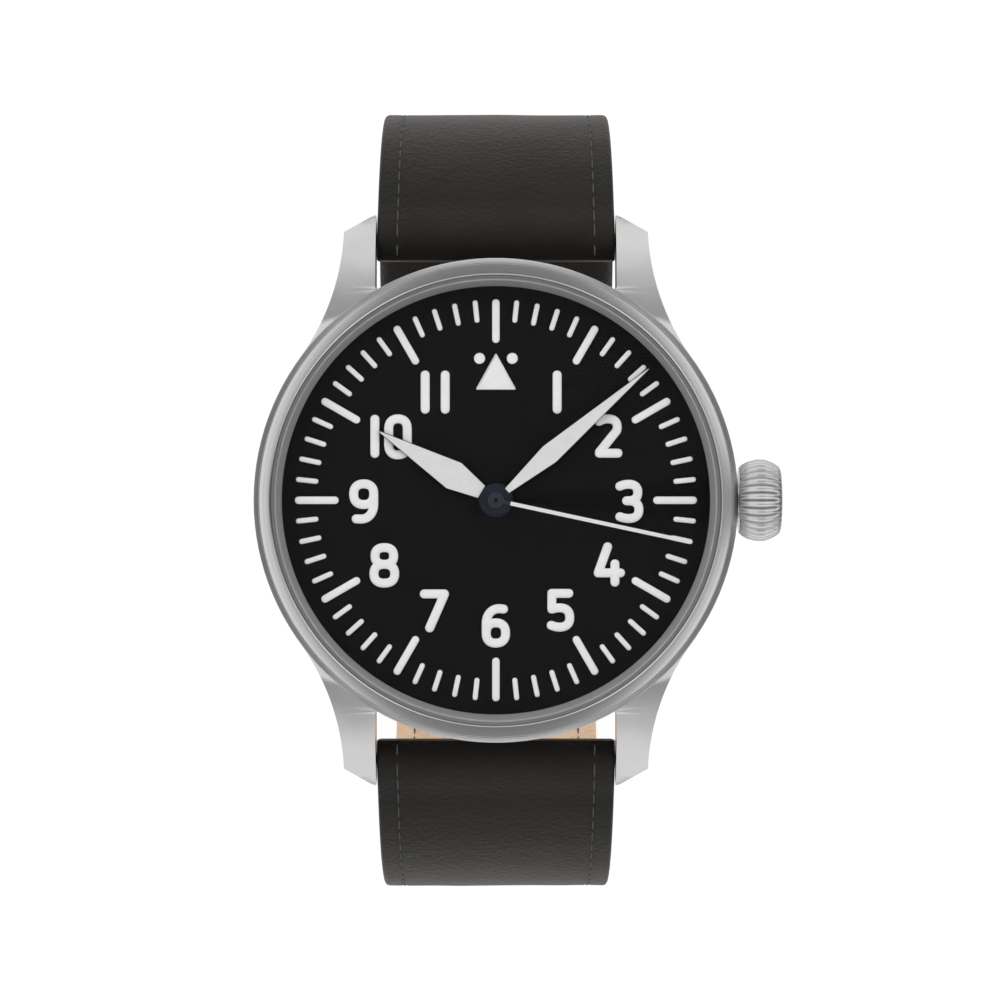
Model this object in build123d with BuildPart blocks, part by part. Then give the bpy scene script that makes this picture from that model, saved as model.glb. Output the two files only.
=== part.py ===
from build123d import *
import os
from math import acos, asin, atan2, cos, degrees, radians, sin, sqrt

os.makedirs("parts", exist_ok=True)

# Lengths are in millimetres and angles in degrees
# Origin: centre of the case back. +Z leaves the dial, +Y points to 12, +X to the crown

# Case middle
case_radius = 20.0
case_wall_h = 6.7
case_wall_t = 1.85
bevel_width = 0.38
bevel_drop = 0.5
flank_lean = 0.8
flank_foot = 0.5
bore_clearance = 0.1
overrun = 1.0

# Lugs
lug_gap = 20.0
lug_overhang = 3.9
lug_end_slant = 1.57
lug_tip_width = 2.65
lug_root_angle = 36.0
lug_shoulder_drop = 0.6
lug_bend_length = 10.9
lug_tip_drop = 4.0
lug_tip_low_z = 0.5
lug_end_lean = 0.7
lug_end_round = 0.7
lug_corner_round = 0.4

# Bezel, crystal and their seats
bezel_width = 0.92
bezel_h = 1.6
bezel_slope_h = 0.45
bezel_lip = 0.1
seal_wall = 0.28
seal_clearance = 0.02
crystal_edge_h = 0.75
crystal_chamfer = 0.12
crystal_dome_h = 0.5
dome_shares = (1.0, 0.45)
crystal_clearance = 0.02
seal_rise = 0.35

# Flange ring and dial
dial_t = 0.4
dial_depth = 0.6
flange_wall = 0.39
flange_lean = 0.3
flange_h = 1.8
dial_hole_clearance = 0.15
dial_foot_radius = 0.35
dial_foot_h = 1.0
dial_foot_reach = 11.6
dial_foot_angles = (150.0, 330.0)
foot_clearance = 0.08

# Case back
back_flange_t = 0.9
back_ring_step = 0.1
back_land_width = 3.3
back_glass_t = 1.2
back_glass_clearance = 0.05
back_lip_width = 0.7
back_lip_t = 0.4
neck_wall = 1.2
thread_clearance = 0.05
back_seal_width = 0.4
back_seal_h = 0.38
key_notches = 6
key_notch_width = 2.4
key_notch_length = 0.9
key_notch_depth = 0.45

# Crown, its tube and the stem
crown_z = 4.9
crown_gap = 0.15
crown_length = 3.5
crown_radius = 3.41
crown_ribs = 30
crown_rib_depth = 0.24
crown_crest_shares = (0.28, 0.72)
crown_station_shares = (0.0, 0.22, 0.46, 0.72, 0.94)
crown_profile_shares = (0.81, 0.95, 1.0, 0.965, 0.84)
crown_cap_radius = 2.45
crown_pocket_clearance = 0.65
tube_radius = 1.5
tube_bore_radius = 0.7
tube_stand = 1.4
tube_tail = 0.4
tube_clearance = 0.08
stem_radius = 0.55
stem_clearance = 0.05
stem_square = 0.76
stem_end_x = 6.8
stem_groove_x = 11.1
stem_groove_width = 0.5
stem_groove_radius = 0.34

# Movement, counted from its back face towards the dial
movement_clearance = 0.05
bridge_back_z = 1.95
bridge_t = 0.8
bridge_inset = 0.3
train_h = 1.35
under_dial_h = 0.7
wheel_t = 0.12
level_step = 0.27
end_play = 0.1
arbor_radius = 0.16
pivot_radius = 0.12
pivot_depth = 0.4
pivot_clearance = 0.04
mesh_gap = 0.02
tip_share = 0.85
root_share = 1.15
hub_share = 0.22
rim_share = 0.84
spoke_count = 5
spoke_angle = 16.0

# Going train
centre_teeth = 64
centre_wheel_radius = 3.3
third_leaves = 8
third_angle = 162.0
third_teeth = 60
fourth_leaves = 8
fourth_teeth = 72
fourth_wheel_radius = 3.42
escape_leaves = 6
escape_angle = 257.0
escape_teeth = 20
escape_radius = 2.0
escape_root_share = 0.74
escape_heel_share = 0.97
escape_lean_share = 0.14
barrel_teeth = 64
centre_leaves = 8
barrel_pitch_radius = 5.2
barrel_angle = 62.0
barrel_h = 1.25
barrel_rim_t = 0.25
barrel_wall = 0.3
barrel_drum_draw = 0.35
barrel_floor_t = 0.2
barrel_cover_t = 0.15
barrel_clearance = 0.15
barrel_arbor_radius = 0.8
mainspring_turns = 3
mainspring_t = 0.14
mainspring_pitch = 0.96
mainspring_start = 1.1

# Centre pipes, from the seconds arbor outwards
seconds_arbor_radius = 0.18
pipe_clearance = 0.04
centre_pipe_wall = 0.2
cannon_wall = 0.2
hour_pipe_wall = 0.24

# Escapement and balance
pallet_clearance = 0.01
pallet_to_balance = 2.9
balance_angle = 310.0
pallet_arm = 1.3
pallet_arm_spread = 66.0
pallet_arm_width = 0.3
pallet_t = 0.16
fork_length = 2.25
fork_notch_width = 0.2
fork_notch_depth = 0.35
fork_head_width = 0.7
balance_radius = 3.9
balance_rim_width = 0.45
balance_t = 0.35
balance_z = 2.68
balance_arm_width = 0.4
balance_staff_radius = 0.16
roller_radius = 0.62
roller_t = 0.12
roller_pin_radius = 0.07
roller_pin_reach = 0.5
hairspring_turns = 4
hairspring_t = 0.06
hairspring_h = 0.1
hairspring_pitch = 0.5
hairspring_start = 0.55
collet_radius = 0.42
stud_size = 0.3
cock_t = 0.42
cock_foot_place_shares = (0.727, -0.391)
cock_foot_radius = 1.5
cock_end_radius = 1.15
pallet_bridge_t = 0.22
pallet_bridge_lift = 0.22
pallet_bridge_half = 1.8
pallet_bridge_radius = 0.42

# Bridges: the split between them and the feet that stand on the plate
bridge_split_shares = ((-1.1, 0.34), (-0.08, 0.19), (0.27, 0.02), (0.42, -0.26), (1.1, -0.26))
bridge_gap = 0.25
barrel_foot_clearance = 0.45
barrel_foot_width = 1.0
train_foot_width = 3.2
balance_window = 0.45
keyless_window_half = 2.0
jewel_radius = 0.55
screw_head_radius = 0.55
screw_head_h = 0.2
screw_slot_width = 0.16
screw_slot_depth = 0.1
screw_place_shares = (
    (-0.62, 0.62), (0.10, 0.92), (0.88, 0.05), (-0.88, -0.02), (-0.62, -0.62), (-0.24, -0.86),
)

# Motion work under the dial
cannon_teeth = 12
minute_teeth = 36
minute_leaves = 10
hour_teeth = 40
minute_wheel_distance = 2.4
minute_wheel_angle = 340.0
motion_wheel_t = 0.15
motion_gap = 0.05
setting_teeth = 31
setting_radius = 1.55
minute_post_radius = 0.22

# Winding work
winding_teeth = 15
winding_radius = 1.5
winding_x = 9.5
winding_length = 1.1
crown_wheel_teeth = 26
crown_wheel_radius = 2.6
crown_wheel_t = 0.22
crown_wheel_arbor_radius = 0.5
ratchet_teeth = 43
ratchet_t = 0.28
ratchet_hub_radius = 1.0
sliding_x = 7.6
sliding_length = 1.5
sliding_radius = 1.15
sliding_teeth = 12
sliding_groove_radius = 0.8
sliding_groove_width = 0.6
window_clearance = 0.3
click_reach = 1.55
click_angle = 172.0
click_pivot_radius = 0.5
click_nose_angle = 155.0
click_length = 1.9
click_nose_radius = 0.16
keyless_t = 0.2
lever_pivot = (11.2, -3.3)
lever_pivot_radius = 0.7
lever_tip_radius = 0.34
lever_pin_radius = 0.2
lever_slot_half = 0.45
yoke_pivot = (8.0, -4.4)
yoke_pivot_radius = 0.75
yoke_tip_radius = 0.17
post_radius = 0.25
post_h = 0.7

# Marks on the dial
mark_t = 0.12
hour_count = 12
hour_bar_width = 0.62
hour_bar_length = 3.63
hour_bar_edge_gap = 1.06
hour_bar_chamfer = 0.18
minutes_per_hour_bar = 5
minute_bar_width = 0.42
minute_bar_length = 1.85
minute_bar_edge_gap = 1.08
triangle_width = 3.38
triangle_height = 3.05
triangle_gap = 0.8
triangle_round = 0.12
dot_radius = 0.455
dot_spread = 1.35
dot_drop = 0.47

# Hands: angle clockwise from 12, then outline sizes from the centre outwards
hour_hand_angle = 300.5
hour_hand_gap = 0.35
hour_hand_t = 0.2
hour_hub_radius = 1.4
hour_blade_rows = ((1.1, 0.56), (1.38, 0.62), (4.0, 1.25))
hour_hand_edge_gap = 6.46
minute_hand_angle = 49.3
minute_hand_gap = 0.25
minute_hand_t = 0.18
minute_hub_radius = 1.265
minute_blade_rows = ((1.0, 0.25), (1.22, 0.29), (5.82, 0.88))
minute_hand_edge_gap = 1.06
hand_tip_half_width = 0.08
seconds_hand_angle = 102.1
seconds_hand_gap = 0.27
seconds_hand_t = 0.15
seconds_hub_radius = 0.65
seconds_hand_edge_gap = 1.16
seconds_width = 0.32
lume_t = 0.05
lume_inset = 0.05

# Spring bars between the lugs
bar_inset = 2.3
bar_z = 2.6
bar_radius = 0.75
bar_tip_radius = 0.4
bar_tip_depth = 0.9
bar_clearance = 0.05

# Strap: each half is black leather on a tan lining, around an upright oval wrist
strap_width = 19.7
strap_tail_width = 18.5
leather_t = 1.4
lining_t = 1.1
roll_radius = 1.75
leave_angle = 60.0
shoulder_bend = 21.6
short_bend = 24.0
short_end_y = -5.0
turned_in_angle = 49.0
layer_gap = 0.35
long_side_angle = 45.0
tail_angle = 60.0
tail_point = 14.0
tail_round = 3.2
hole_radius = 0.9
hole_sides = 12
hole_spacing = 6.5
holes_before = 2
holes_after = 3
lining_start_angle = 54.0
long_flat_y = -12.0

# Keepers
keeper_t = 1.2
keeper_inner_t = 0.9
keeper_width = 5.0
keeper_clearance = 0.3
keeper_round = 0.9
fixed_keeper_y = 5.0
sliding_keeper_angle = 34.6

# Buckle
buckle_reach = 12.2
buckle_bar_radius = 1.0
buckle_ear_radius = 1.5
buckle_arm_t = 1.9
buckle_side_clearance = 0.3
buckle_pin_radius = 0.7
buckle_pin_tip_radius = 0.45
buckle_pin_tip = 1.2
tongue_width = 2.0
tongue_t = 0.85
tongue_eye_radius = 1.35
tongue_bend_y = 4.3
tongue_overhang = 0.2
tongue_lift = 0.07
tongue_groove_clearance = 0.15
tongue_slot_length = 4.6
tongue_slot_width = 2.7
tongue_slot_y = 2.4
tongue_notch_clearance = 0.3
pin_clearance = 0.05

# Heights that follow from the stack
case_low_z = back_flange_t
case_top_z = case_low_z + case_wall_h
dial_z = case_top_z - dial_depth
dial_back_z = dial_z - dial_t
plate_front_z = dial_back_z - under_dial_h
bridge_front_z = bridge_back_z + bridge_t
plate_back_z = bridge_front_z + train_h
plate_pivot_z = plate_back_z + pivot_depth + end_play
crystal_low_z = dial_z + flange_h
bore_radius = case_radius - case_wall_t
dial_radius = bore_radius - bore_clearance
flange_radius = dial_radius - flange_wall
lug_reach = case_radius + lug_overhang
lug_bend_y = lug_reach - lug_bend_length
bar_y = lug_reach - bar_inset
tube_end_x = case_radius + tube_stand
crown_pocket_depth = tube_stand - crown_gap + crown_pocket_clearance
bezel_outer_radius = case_radius - bevel_width
bezel_inner_radius = bezel_outer_radius - bezel_width
seal_outer_radius = bezel_inner_radius - seal_clearance
crystal_radius = seal_outer_radius - seal_wall - crystal_clearance

# Levels of the train wheels, from the bridges towards the plate
fourth_level = bridge_front_z + end_play
third_level = fourth_level + level_step
centre_level = third_level + level_step
barrel_level = centre_level + level_step
crown_wheel_level = crown_z - winding_radius - crown_wheel_t

# Centre pipe radii
centre_pipe_bore = seconds_arbor_radius + pipe_clearance
centre_pipe_radius = centre_pipe_bore + centre_pipe_wall
cannon_radius = centre_pipe_radius + cannon_wall
hour_pipe_bore = cannon_radius + pipe_clearance
hour_pipe_radius = hour_pipe_bore + hour_pipe_wall

# Hand heights
hour_hand_z = dial_z + hour_hand_gap
minute_hand_z = hour_hand_z + hour_hand_t + minute_hand_gap
seconds_hand_z = minute_hand_z + minute_hand_t + seconds_hand_gap

# Lengths of the bars and the hands, up to the flange ring
hour_bar_end = flange_radius - hour_bar_edge_gap
minute_bar_end = flange_radius - minute_bar_edge_gap
minute_count = hour_count * minutes_per_hour_bar
triangle_half = triangle_width / 2
triangle_top_y = hour_bar_end - hour_bar_length - triangle_gap
triangle_low_y = triangle_top_y - triangle_height
hour_blade = (*hour_blade_rows, (flange_radius - hour_hand_edge_gap, hand_tip_half_width))
minute_blade = (*minute_blade_rows, (flange_radius - minute_hand_edge_gap, hand_tip_half_width))
seconds_reach = flange_radius - seconds_hand_edge_gap

OUTLINE_TURN = 360
HALF_TURN = 180
QUARTER_TURN = 90
half_share = 0.5


def on_circle(radius, angle, centre=(0, 0)):
    """Point at a radius and an angle counted anticlockwise from the first axis."""
    return (centre[0] + radius * cos(radians(angle)), centre[1] + radius * sin(radians(angle)))


def scaled(shares, size):
    """Outline points from shares of one size."""
    return [(first * size, second * size) for first, second in shares]


def clock_plane(clock_angle, height):
    """Plane at a height whose x runs outwards at an angle counted clockwise from 12."""
    outwards = (sin(radians(clock_angle)), cos(radians(clock_angle)), 0)
    return Plane(origin=(0, 0, height), x_dir=outwards, z_dir=(0, 0, 1))


def spot_plane(place, height, turn=0):
    """Level plane centred on a place, turned anticlockwise."""
    return Plane(origin=(place[0], place[1], height), x_dir=(*on_circle(1, turn), 0), z_dir=(0, 0, 1))


def turned(points):
    """Turn a closed outline of (radius, height) points round the dial axis."""
    with BuildSketch(Plane.XZ) as profile:
        with BuildLine():
            Polyline(*points, close=True)
        make_face()
    revolve(profile.sketch, axis=Axis.Z)


def shaft(place, low, high, radius, mode=Mode.ADD):
    """Upright cylinder between two heights."""
    with Locations((place[0], place[1], low)):
        Cylinder(radius, high - low, align=(Align.CENTER, Align.CENTER, Align.MIN), mode=mode)


def tooth_tips(count, pitch_radius):
    """Tip and root radius of pointed watch teeth on a pitch circle."""
    module = 2 * pitch_radius / count
    return pitch_radius + tip_share * module, pitch_radius - root_share * module


def toothed(count, pitch_radius, phase, mode=Mode.ADD):
    """Face with pointed teeth, one of them at the phase angle."""
    tip, root = tooth_tips(count, pitch_radius)
    step = OUTLINE_TURN / count
    points = []
    for tooth in range(count):
        points.append(on_circle(tip, phase + tooth * step))
        points.append(on_circle(root, phase + (tooth + half_share) * step))
    with BuildLine() as outline:
        Polyline(*points, close=True)
    make_face(outline.edges(), mode=mode)


def ring_piece(centre, inner_radius, outer_radius, start, turn, mode=Mode.ADD):
    """Face between two arcs of one centre."""
    with BuildLine() as outline:
        inner = CenterArc(centre, inner_radius, start, turn)
        outer = CenterArc(centre, outer_radius, start, turn)
        Line(inner @ 0, outer @ 0)
        Line(inner @ 1, outer @ 1)
    make_face(outline.edges(), mode=mode)


def spoked_wheel(place, low, count, pitch_radius, phase):
    """Thin wheel with spokes, pointed teeth and a solid hub."""
    with BuildSketch(spot_plane(place, low)) as blank:
        toothed(count, pitch_radius, phase)
        window = OUTLINE_TURN / spoke_count - spoke_angle
        for spoke in range(spoke_count):
            start = spoke * OUTLINE_TURN / spoke_count
            hub_radius, rim_radius = hub_share * pitch_radius, rim_share * pitch_radius
            ring_piece((0, 0), hub_radius, rim_radius, start, window, Mode.SUBTRACT)
    extrude(blank.sketch, amount=wheel_t)


def pinion(place, low, high, count, pitch_radius, phase):
    """Solid pinion between two heights."""
    with BuildSketch(spot_plane(place, low)) as blank:
        toothed(count, pitch_radius, phase)
    extrude(blank.sketch, amount=high - low)


def spiral_strip(turns, start_radius, pitch, thickness):
    """Flat face of a spiral strip made of half circles about two centres."""
    half_turns = 2 * turns
    half_pitch = pitch / 2
    with BuildLine() as outline:
        inner_arcs = []
        outer_arcs = []
        for half in range(half_turns):
            side = half % 2
            centre = (side * half_pitch, 0)
            radius = start_radius + half * half_pitch
            inner_arcs.append(CenterArc(centre, radius - thickness / 2, side * HALF_TURN, HALF_TURN))
            outer_arcs.append(CenterArc(centre, radius + thickness / 2, side * HALF_TURN, HALF_TURN))
        Line(inner_arcs[0] @ 0, outer_arcs[0] @ 0)
        Line(inner_arcs[-1] @ 1, outer_arcs[-1] @ 1)
    make_face(outline.edges())


# Places of the train and the escapement
third_distance = centre_wheel_radius * (centre_teeth + third_leaves) / centre_teeth
third_place = on_circle(third_distance, third_angle)
third_pinion_radius = third_distance - centre_wheel_radius
third_wheel_radius = third_distance * third_teeth / (third_teeth + fourth_leaves)
fourth_pinion_radius = third_distance - third_wheel_radius
escape_distance = fourth_wheel_radius * (fourth_teeth + escape_leaves) / fourth_teeth
escape_place = on_circle(escape_distance, escape_angle)
escape_pinion_radius = escape_distance - fourth_wheel_radius
barrel_distance = barrel_pitch_radius * (barrel_teeth + centre_leaves) / barrel_teeth
barrel_place = on_circle(barrel_distance, barrel_angle)
centre_pinion_radius = barrel_distance - barrel_pitch_radius
barrel_foot_radius = barrel_distance + barrel_pitch_radius + barrel_foot_clearance
bridge_radius = barrel_foot_radius + barrel_foot_width
movement_radius = bridge_radius + bridge_inset
pallet_distance = (escape_radius + pallet_clearance) / sin(radians(pallet_arm_spread))
pallet_place = on_circle(pallet_distance, balance_angle, escape_place)
balance_place = on_circle(pallet_to_balance, balance_angle, pallet_place)
crown_wheel_place = (winding_x + winding_length / 2 - crown_wheel_radius, 0)
ratchet_distance = sqrt((crown_wheel_place[0] - barrel_place[0]) ** 2 + barrel_place[1] ** 2)
ratchet_radius = ratchet_distance - crown_wheel_radius
ratchet_side = degrees(acos((crown_wheel_place[0] - barrel_place[0]) / ratchet_distance))
minute_wheel_place = on_circle(minute_wheel_distance, minute_wheel_angle)
minute_wheel_radius = minute_wheel_distance * minute_teeth / (minute_teeth + cannon_teeth)
cannon_pitch_radius = minute_wheel_distance - minute_wheel_radius
hour_wheel_radius = minute_wheel_distance * hour_teeth / (hour_teeth + minute_leaves)
minute_pinion_radius = minute_wheel_distance - hour_wheel_radius
setting_distance = minute_wheel_radius + setting_radius
setting_side = degrees(asin(-minute_wheel_place[1] / setting_distance))
setting_place = on_circle(setting_distance, setting_side, minute_wheel_place)
cock_foot_place = (cock_foot_place_shares[0] * movement_radius, cock_foot_place_shares[1] * movement_radius)
cock_angle = degrees(atan2(cock_foot_place[1] - balance_place[1], cock_foot_place[0] - balance_place[0]))

# Case middle: round wall with a bevel, four lugs, bar holes and the crown tube hole
inner_x = lug_gap / 2
wall_radius = (bore_radius + case_radius) / 2
lug_top_z = case_top_z - lug_shoulder_drop
lug_tip_top_z = lug_top_z - lug_tip_drop
flank_low_radius = case_radius - flank_lean
flank_low_z = case_low_z + flank_foot
bevel_low_z = case_top_z - bevel_drop

with BuildPart() as lugs:
    with BuildSketch(Plane.XY) as lug_plan:
        with BuildLine():
            tip_corner = (inner_x + lug_tip_width, lug_reach - lug_end_slant)
            flank_tangent = on_circle(1, lug_root_angle + QUARTER_TURN)
            flank = TangentArc(on_circle(case_radius, lug_root_angle), tip_corner, tangent=flank_tangent)
            corner_y = sqrt(case_radius**2 - inner_x**2) + lug_corner_round
            Polyline(flank @ 1, (inner_x, lug_reach), (inner_x, corner_y))
            corner = CenterArc((inner_x - lug_corner_round, corner_y), lug_corner_round, 0, -QUARTER_TURN)
            inner_root = (inner_x, sqrt(wall_radius**2 - inner_x**2))
            wall_root = on_circle(wall_radius, lug_root_angle)
            Polyline(corner @ 1, inner_root, wall_root, flank @ 0)
        make_face()
        mirror(about=Plane.XZ)
        mirror(about=Plane.YZ)
    extrude(amount=case_top_z)
    with BuildSketch(Plane.YZ) as lug_side:
        with BuildLine():
            top_start = (lug_bend_y, lug_top_z)
            Line((0, lug_top_z), top_start)
            top = TangentArc(top_start, (lug_reach, lug_tip_top_z), tangent=(1, 0))
            end_low = (lug_reach - lug_end_lean, lug_tip_low_z)
            Line(top @ 1, end_low)
            Polyline(end_low, (lug_bend_y, flank_low_z), (0, flank_low_z), (0, lug_top_z))
        make_face()
        lug_ends = lug_side.vertices().sort_by(Axis.X)[-2:]
        fillet(lug_ends, lug_end_round)
        mirror(about=Plane.YZ)
    extrude(amount=case_radius, both=True, mode=Mode.INTERSECT)

with BuildPart() as case_middle:
    with BuildSketch(Plane.XZ) as wall_section:
        with BuildLine():
            flank_start = (flank_low_radius, flank_low_z)
            flank_end = (case_radius, bevel_low_z)
            Polyline(
                flank_start,
                flank_end,
                (bezel_outer_radius, case_top_z),
                (bore_radius, case_top_z),
                (bore_radius, case_low_z),
                (flank_low_radius - flank_foot, case_low_z),
                flank_start,
            )
        make_face()
    revolve(axis=Axis.Z)
    add(lugs.part)
    with BuildSketch(Plane.YZ) as bar_holes:
        with Locations((bar_y, bar_z), (-bar_y, bar_z)):
            Circle(bar_tip_radius + bar_clearance)
    extrude(amount=inner_x + bar_tip_depth + bar_clearance, both=True, mode=Mode.SUBTRACT)
    with BuildSketch(Plane.YZ.offset(bore_radius - overrun)) as tube_hole:
        with Locations((0, crown_z)):
            Circle(tube_radius)
    extrude(amount=case_radius - bore_radius + 2 * overrun, mode=Mode.SUBTRACT)
case_middle.part.label = "case_middle"
export_step(case_middle.part, "parts/case_middle.step")

# Bezel: turned ring with a gently sloped top
bezel_top_z = case_top_z + bezel_h
with BuildPart() as bezel:
    turned([
        (bezel_inner_radius, case_top_z),
        (bezel_outer_radius, case_top_z),
        (bezel_outer_radius, bezel_top_z - bezel_slope_h),
        (bezel_inner_radius + bezel_lip, bezel_top_z),
        (bezel_inner_radius, bezel_top_z - bezel_lip),
    ])
bezel.part.label = "bezel"
export_step(bezel.part, "parts/bezel.step")

# Crystal seal: L-shaped ring under and round the crystal
seal_step_radius = crystal_radius + crystal_clearance
with BuildPart() as crystal_seal:
    turned([
        (bore_radius, case_top_z),
        (seal_outer_radius, case_top_z),
        (seal_outer_radius, crystal_low_z + seal_rise),
        (seal_step_radius, crystal_low_z + seal_rise),
        (seal_step_radius, crystal_low_z),
        (bore_radius, crystal_low_z),
    ])
crystal_seal.part.label = "crystal_seal"
export_step(crystal_seal.part, "parts/crystal_seal.step")

# Crystal: flat below, domed above, with a chamfered edge
edge_top_z = crystal_low_z + crystal_edge_h
dome_radius = crystal_radius - crystal_chamfer
dome_span = 1 - dome_shares[-1] ** 2
dome_points = [
    (share * dome_radius, edge_top_z + (1 - share**2) / dome_span * crystal_dome_h) for share in dome_shares
]
with BuildPart() as crystal:
    turned([
        (0, crystal_low_z),
        (crystal_radius, crystal_low_z),
        (crystal_radius, edge_top_z - crystal_chamfer),
        *dome_points,
        (0, edge_top_z + crystal_dome_h),
    ])
crystal.part.label = "crystal"
export_step(crystal.part, "parts/crystal.step")

# Flange ring between the dial and the crystal
with BuildPart() as flange_ring:
    turned([
        (flange_radius, dial_z),
        (dial_radius, dial_z),
        (dial_radius, crystal_low_z),
        (flange_radius + flange_lean, crystal_low_z),
    ])
flange_ring.part.label = "flange_ring"
export_step(flange_ring.part, "parts/flange_ring.step")

# Dial with two feet that pin it to the plate
foot_places = [on_circle(dial_foot_reach, angle) for angle in dial_foot_angles]
with BuildPart() as dial:
    shaft((0, 0), dial_back_z, dial_z, dial_radius)
    for foot_place in foot_places:
        shaft(foot_place, dial_back_z - dial_foot_h, dial_back_z, dial_foot_radius)
    shaft((0, 0), dial_back_z, dial_z, hour_pipe_radius + dial_hole_clearance, Mode.SUBTRACT)
dial.part.label = "dial"
export_step(dial.part, "parts/dial.step")

# Hour marks: twelve bars with eased corners, the triangle and its two dots
with BuildPart() as hour_marks:
    with BuildSketch(Plane.XY.offset(dial_z)) as hour_faces:
        with BuildLine():
            triangle_feet = ((-triangle_half, triangle_low_y), (triangle_half, triangle_low_y))
            Polyline(*triangle_feet, (0, triangle_top_y), close=True)
        make_face()
        fillet(hour_faces.vertices(), triangle_round)
        with PolarLocations(hour_bar_end - hour_bar_length / 2, hour_count):
            Rectangle(hour_bar_length, hour_bar_width)
        chamfer(hour_faces.vertices(Select.LAST), hour_bar_chamfer)
        with Locations((dot_spread, triangle_top_y - dot_drop), (-dot_spread, triangle_top_y - dot_drop)):
            Circle(dot_radius)
    extrude(amount=mark_t)
hour_marks.part.label = "hour_marks"
export_step(hour_marks.part, "parts/hour_marks.step")

# Minute marks: four short bars between each pair of hours
with BuildPart() as minute_marks:
    with BuildSketch(Plane.XY.offset(dial_z)) as minute_faces:
        minute_step = OUTLINE_TURN / minute_count
        for minute in range(minute_count):
            if minute % minutes_per_hour_bar:
                spot = on_circle(minute_bar_end - minute_bar_length / 2, minute * minute_step)
                with Locations(Location((*spot, 0), (0, 0, minute * minute_step))):
                    Rectangle(minute_bar_length, minute_bar_width)
    extrude(amount=mark_t)
minute_marks.part.label = "minute_marks"
export_step(minute_marks.part, "parts/minute_marks.step")

# Case back: flange, stepped neck, glass seat and key notches
neck_radius = bore_radius - thread_clearance
seal_land_z = case_low_z + back_seal_h
neck_inner_radius = neck_radius - neck_wall
glass_seat_z = back_glass_t
back_ring_radius = flank_low_radius - flank_foot - back_ring_step
back_glass_radius = neck_inner_radius - back_land_width
back_window_radius = back_glass_radius - back_lip_width
with BuildPart() as back_ring:
    turned([
        (back_glass_radius + back_glass_clearance, 0),
        (back_ring_radius, 0),
        (back_ring_radius, case_low_z),
        (neck_radius - back_seal_width, case_low_z),
        (neck_radius - back_seal_width, seal_land_z),
        (neck_radius, seal_land_z),
        (neck_radius, bridge_back_z),
        (neck_inner_radius, bridge_back_z),
        (neck_inner_radius, glass_seat_z + back_lip_t),
        (back_window_radius, glass_seat_z + back_lip_t),
        (back_window_radius, glass_seat_z),
        (back_glass_radius + back_glass_clearance, glass_seat_z),
    ])
    with BuildSketch(Plane.XY) as key_slots:
        with PolarLocations(back_ring_radius, key_notches):
            Rectangle(2 * key_notch_length, key_notch_width)
    extrude(amount=key_notch_depth, mode=Mode.SUBTRACT)
back_ring.part.label = "back_ring"
export_step(back_ring.part, "parts/back_ring.step")

with BuildPart() as back_seal:
    turned([
        (neck_radius - back_seal_width, case_low_z),
        (neck_radius, case_low_z),
        (neck_radius, seal_land_z),
        (neck_radius - back_seal_width, seal_land_z),
    ])
back_seal.part.label = "back_seal"
export_step(back_seal.part, "parts/back_seal.step")

with BuildPart() as back_glass:
    shaft((0, 0), 0, back_glass_t, back_glass_radius)
back_glass.part.label = "back_glass"
export_step(back_glass.part, "parts/back_glass.step")

# Movement ring: fills the space between the movement and the case bore
stem_hole_radius = stem_radius + stem_clearance
with BuildPart() as movement_ring:
    turned([
        (movement_radius + movement_clearance, bridge_back_z),
        (neck_radius, bridge_back_z),
        (neck_radius, dial_back_z),
        (movement_radius + movement_clearance, dial_back_z),
    ])
    with BuildSketch(Plane.YZ.offset(movement_radius - overrun)) as stem_way:
        with Locations((0, crown_z)):
            Circle(tube_radius + tube_clearance)
    extrude(amount=case_radius - movement_radius, mode=Mode.SUBTRACT)
movement_ring.part.label = "movement_ring"
export_step(movement_ring.part, "parts/movement_ring.step")

# Crown tube pressed into the case wall
with BuildPart() as crown_tube:
    with BuildSketch(Plane.YZ.offset(bore_radius - tube_tail)) as tube_section:
        with Locations((0, crown_z)):
            Circle(tube_radius)
            Circle(tube_bore_radius, mode=Mode.SUBTRACT)
    extrude(amount=tube_end_x - bore_radius + tube_tail)
crown_tube.part.label = "crown_tube"
export_step(crown_tube.part, "parts/crown_tube.step")

# Crown: barrel form with rounded ribs, lofted through ribbed outlines
crown_start_x = case_radius + crown_gap
crown_end_x = crown_start_x + crown_length
rib_step = OUTLINE_TURN / crown_ribs
with BuildPart() as crown:
    for station, profile in zip(crown_station_shares, crown_profile_shares):
        with BuildSketch(Plane.YZ.offset(crown_start_x + station * crown_length)) as crown_outline:
            with BuildLine():
                peak = profile * crown_radius
                valley = peak - crown_rib_depth * profile
                rib_points = []
                for rib in range(crown_ribs):
                    rib_points.append(on_circle(valley, rib * rib_step, (0, crown_z)))
                    for crest in crown_crest_shares:
                        rib_points.append(on_circle(peak, (rib + crest) * rib_step, (0, crown_z)))
                Polyline(*rib_points, close=True)
            make_face()
    loft(ruled=True)
    with BuildSketch(Plane.XZ) as crown_cap:
        with BuildLine():
            cap_x = crown_start_x + crown_station_shares[-1] * crown_length
            cap_edge = (cap_x, crown_z + crown_profile_shares[-1] * crown_radius - crown_rib_depth)
            cap_shoulder = (crown_end_x, crown_z + crown_cap_radius)
            cap_top = (crown_end_x, crown_z)
            Polyline(cap_shoulder, cap_top, (cap_x, crown_z), cap_edge, close=True)
        make_face()
    revolve(axis=Axis((0, 0, crown_z), (1, 0, 0)))
    with BuildSketch(Plane.YZ.offset(crown_start_x)) as crown_pocket:
        with Locations((0, crown_z)):
            Circle(tube_radius + tube_clearance)
    extrude(amount=crown_pocket_depth, mode=Mode.SUBTRACT)
crown.part.label = "crown"
export_step(crown.part, "parts/crown.step")

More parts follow.
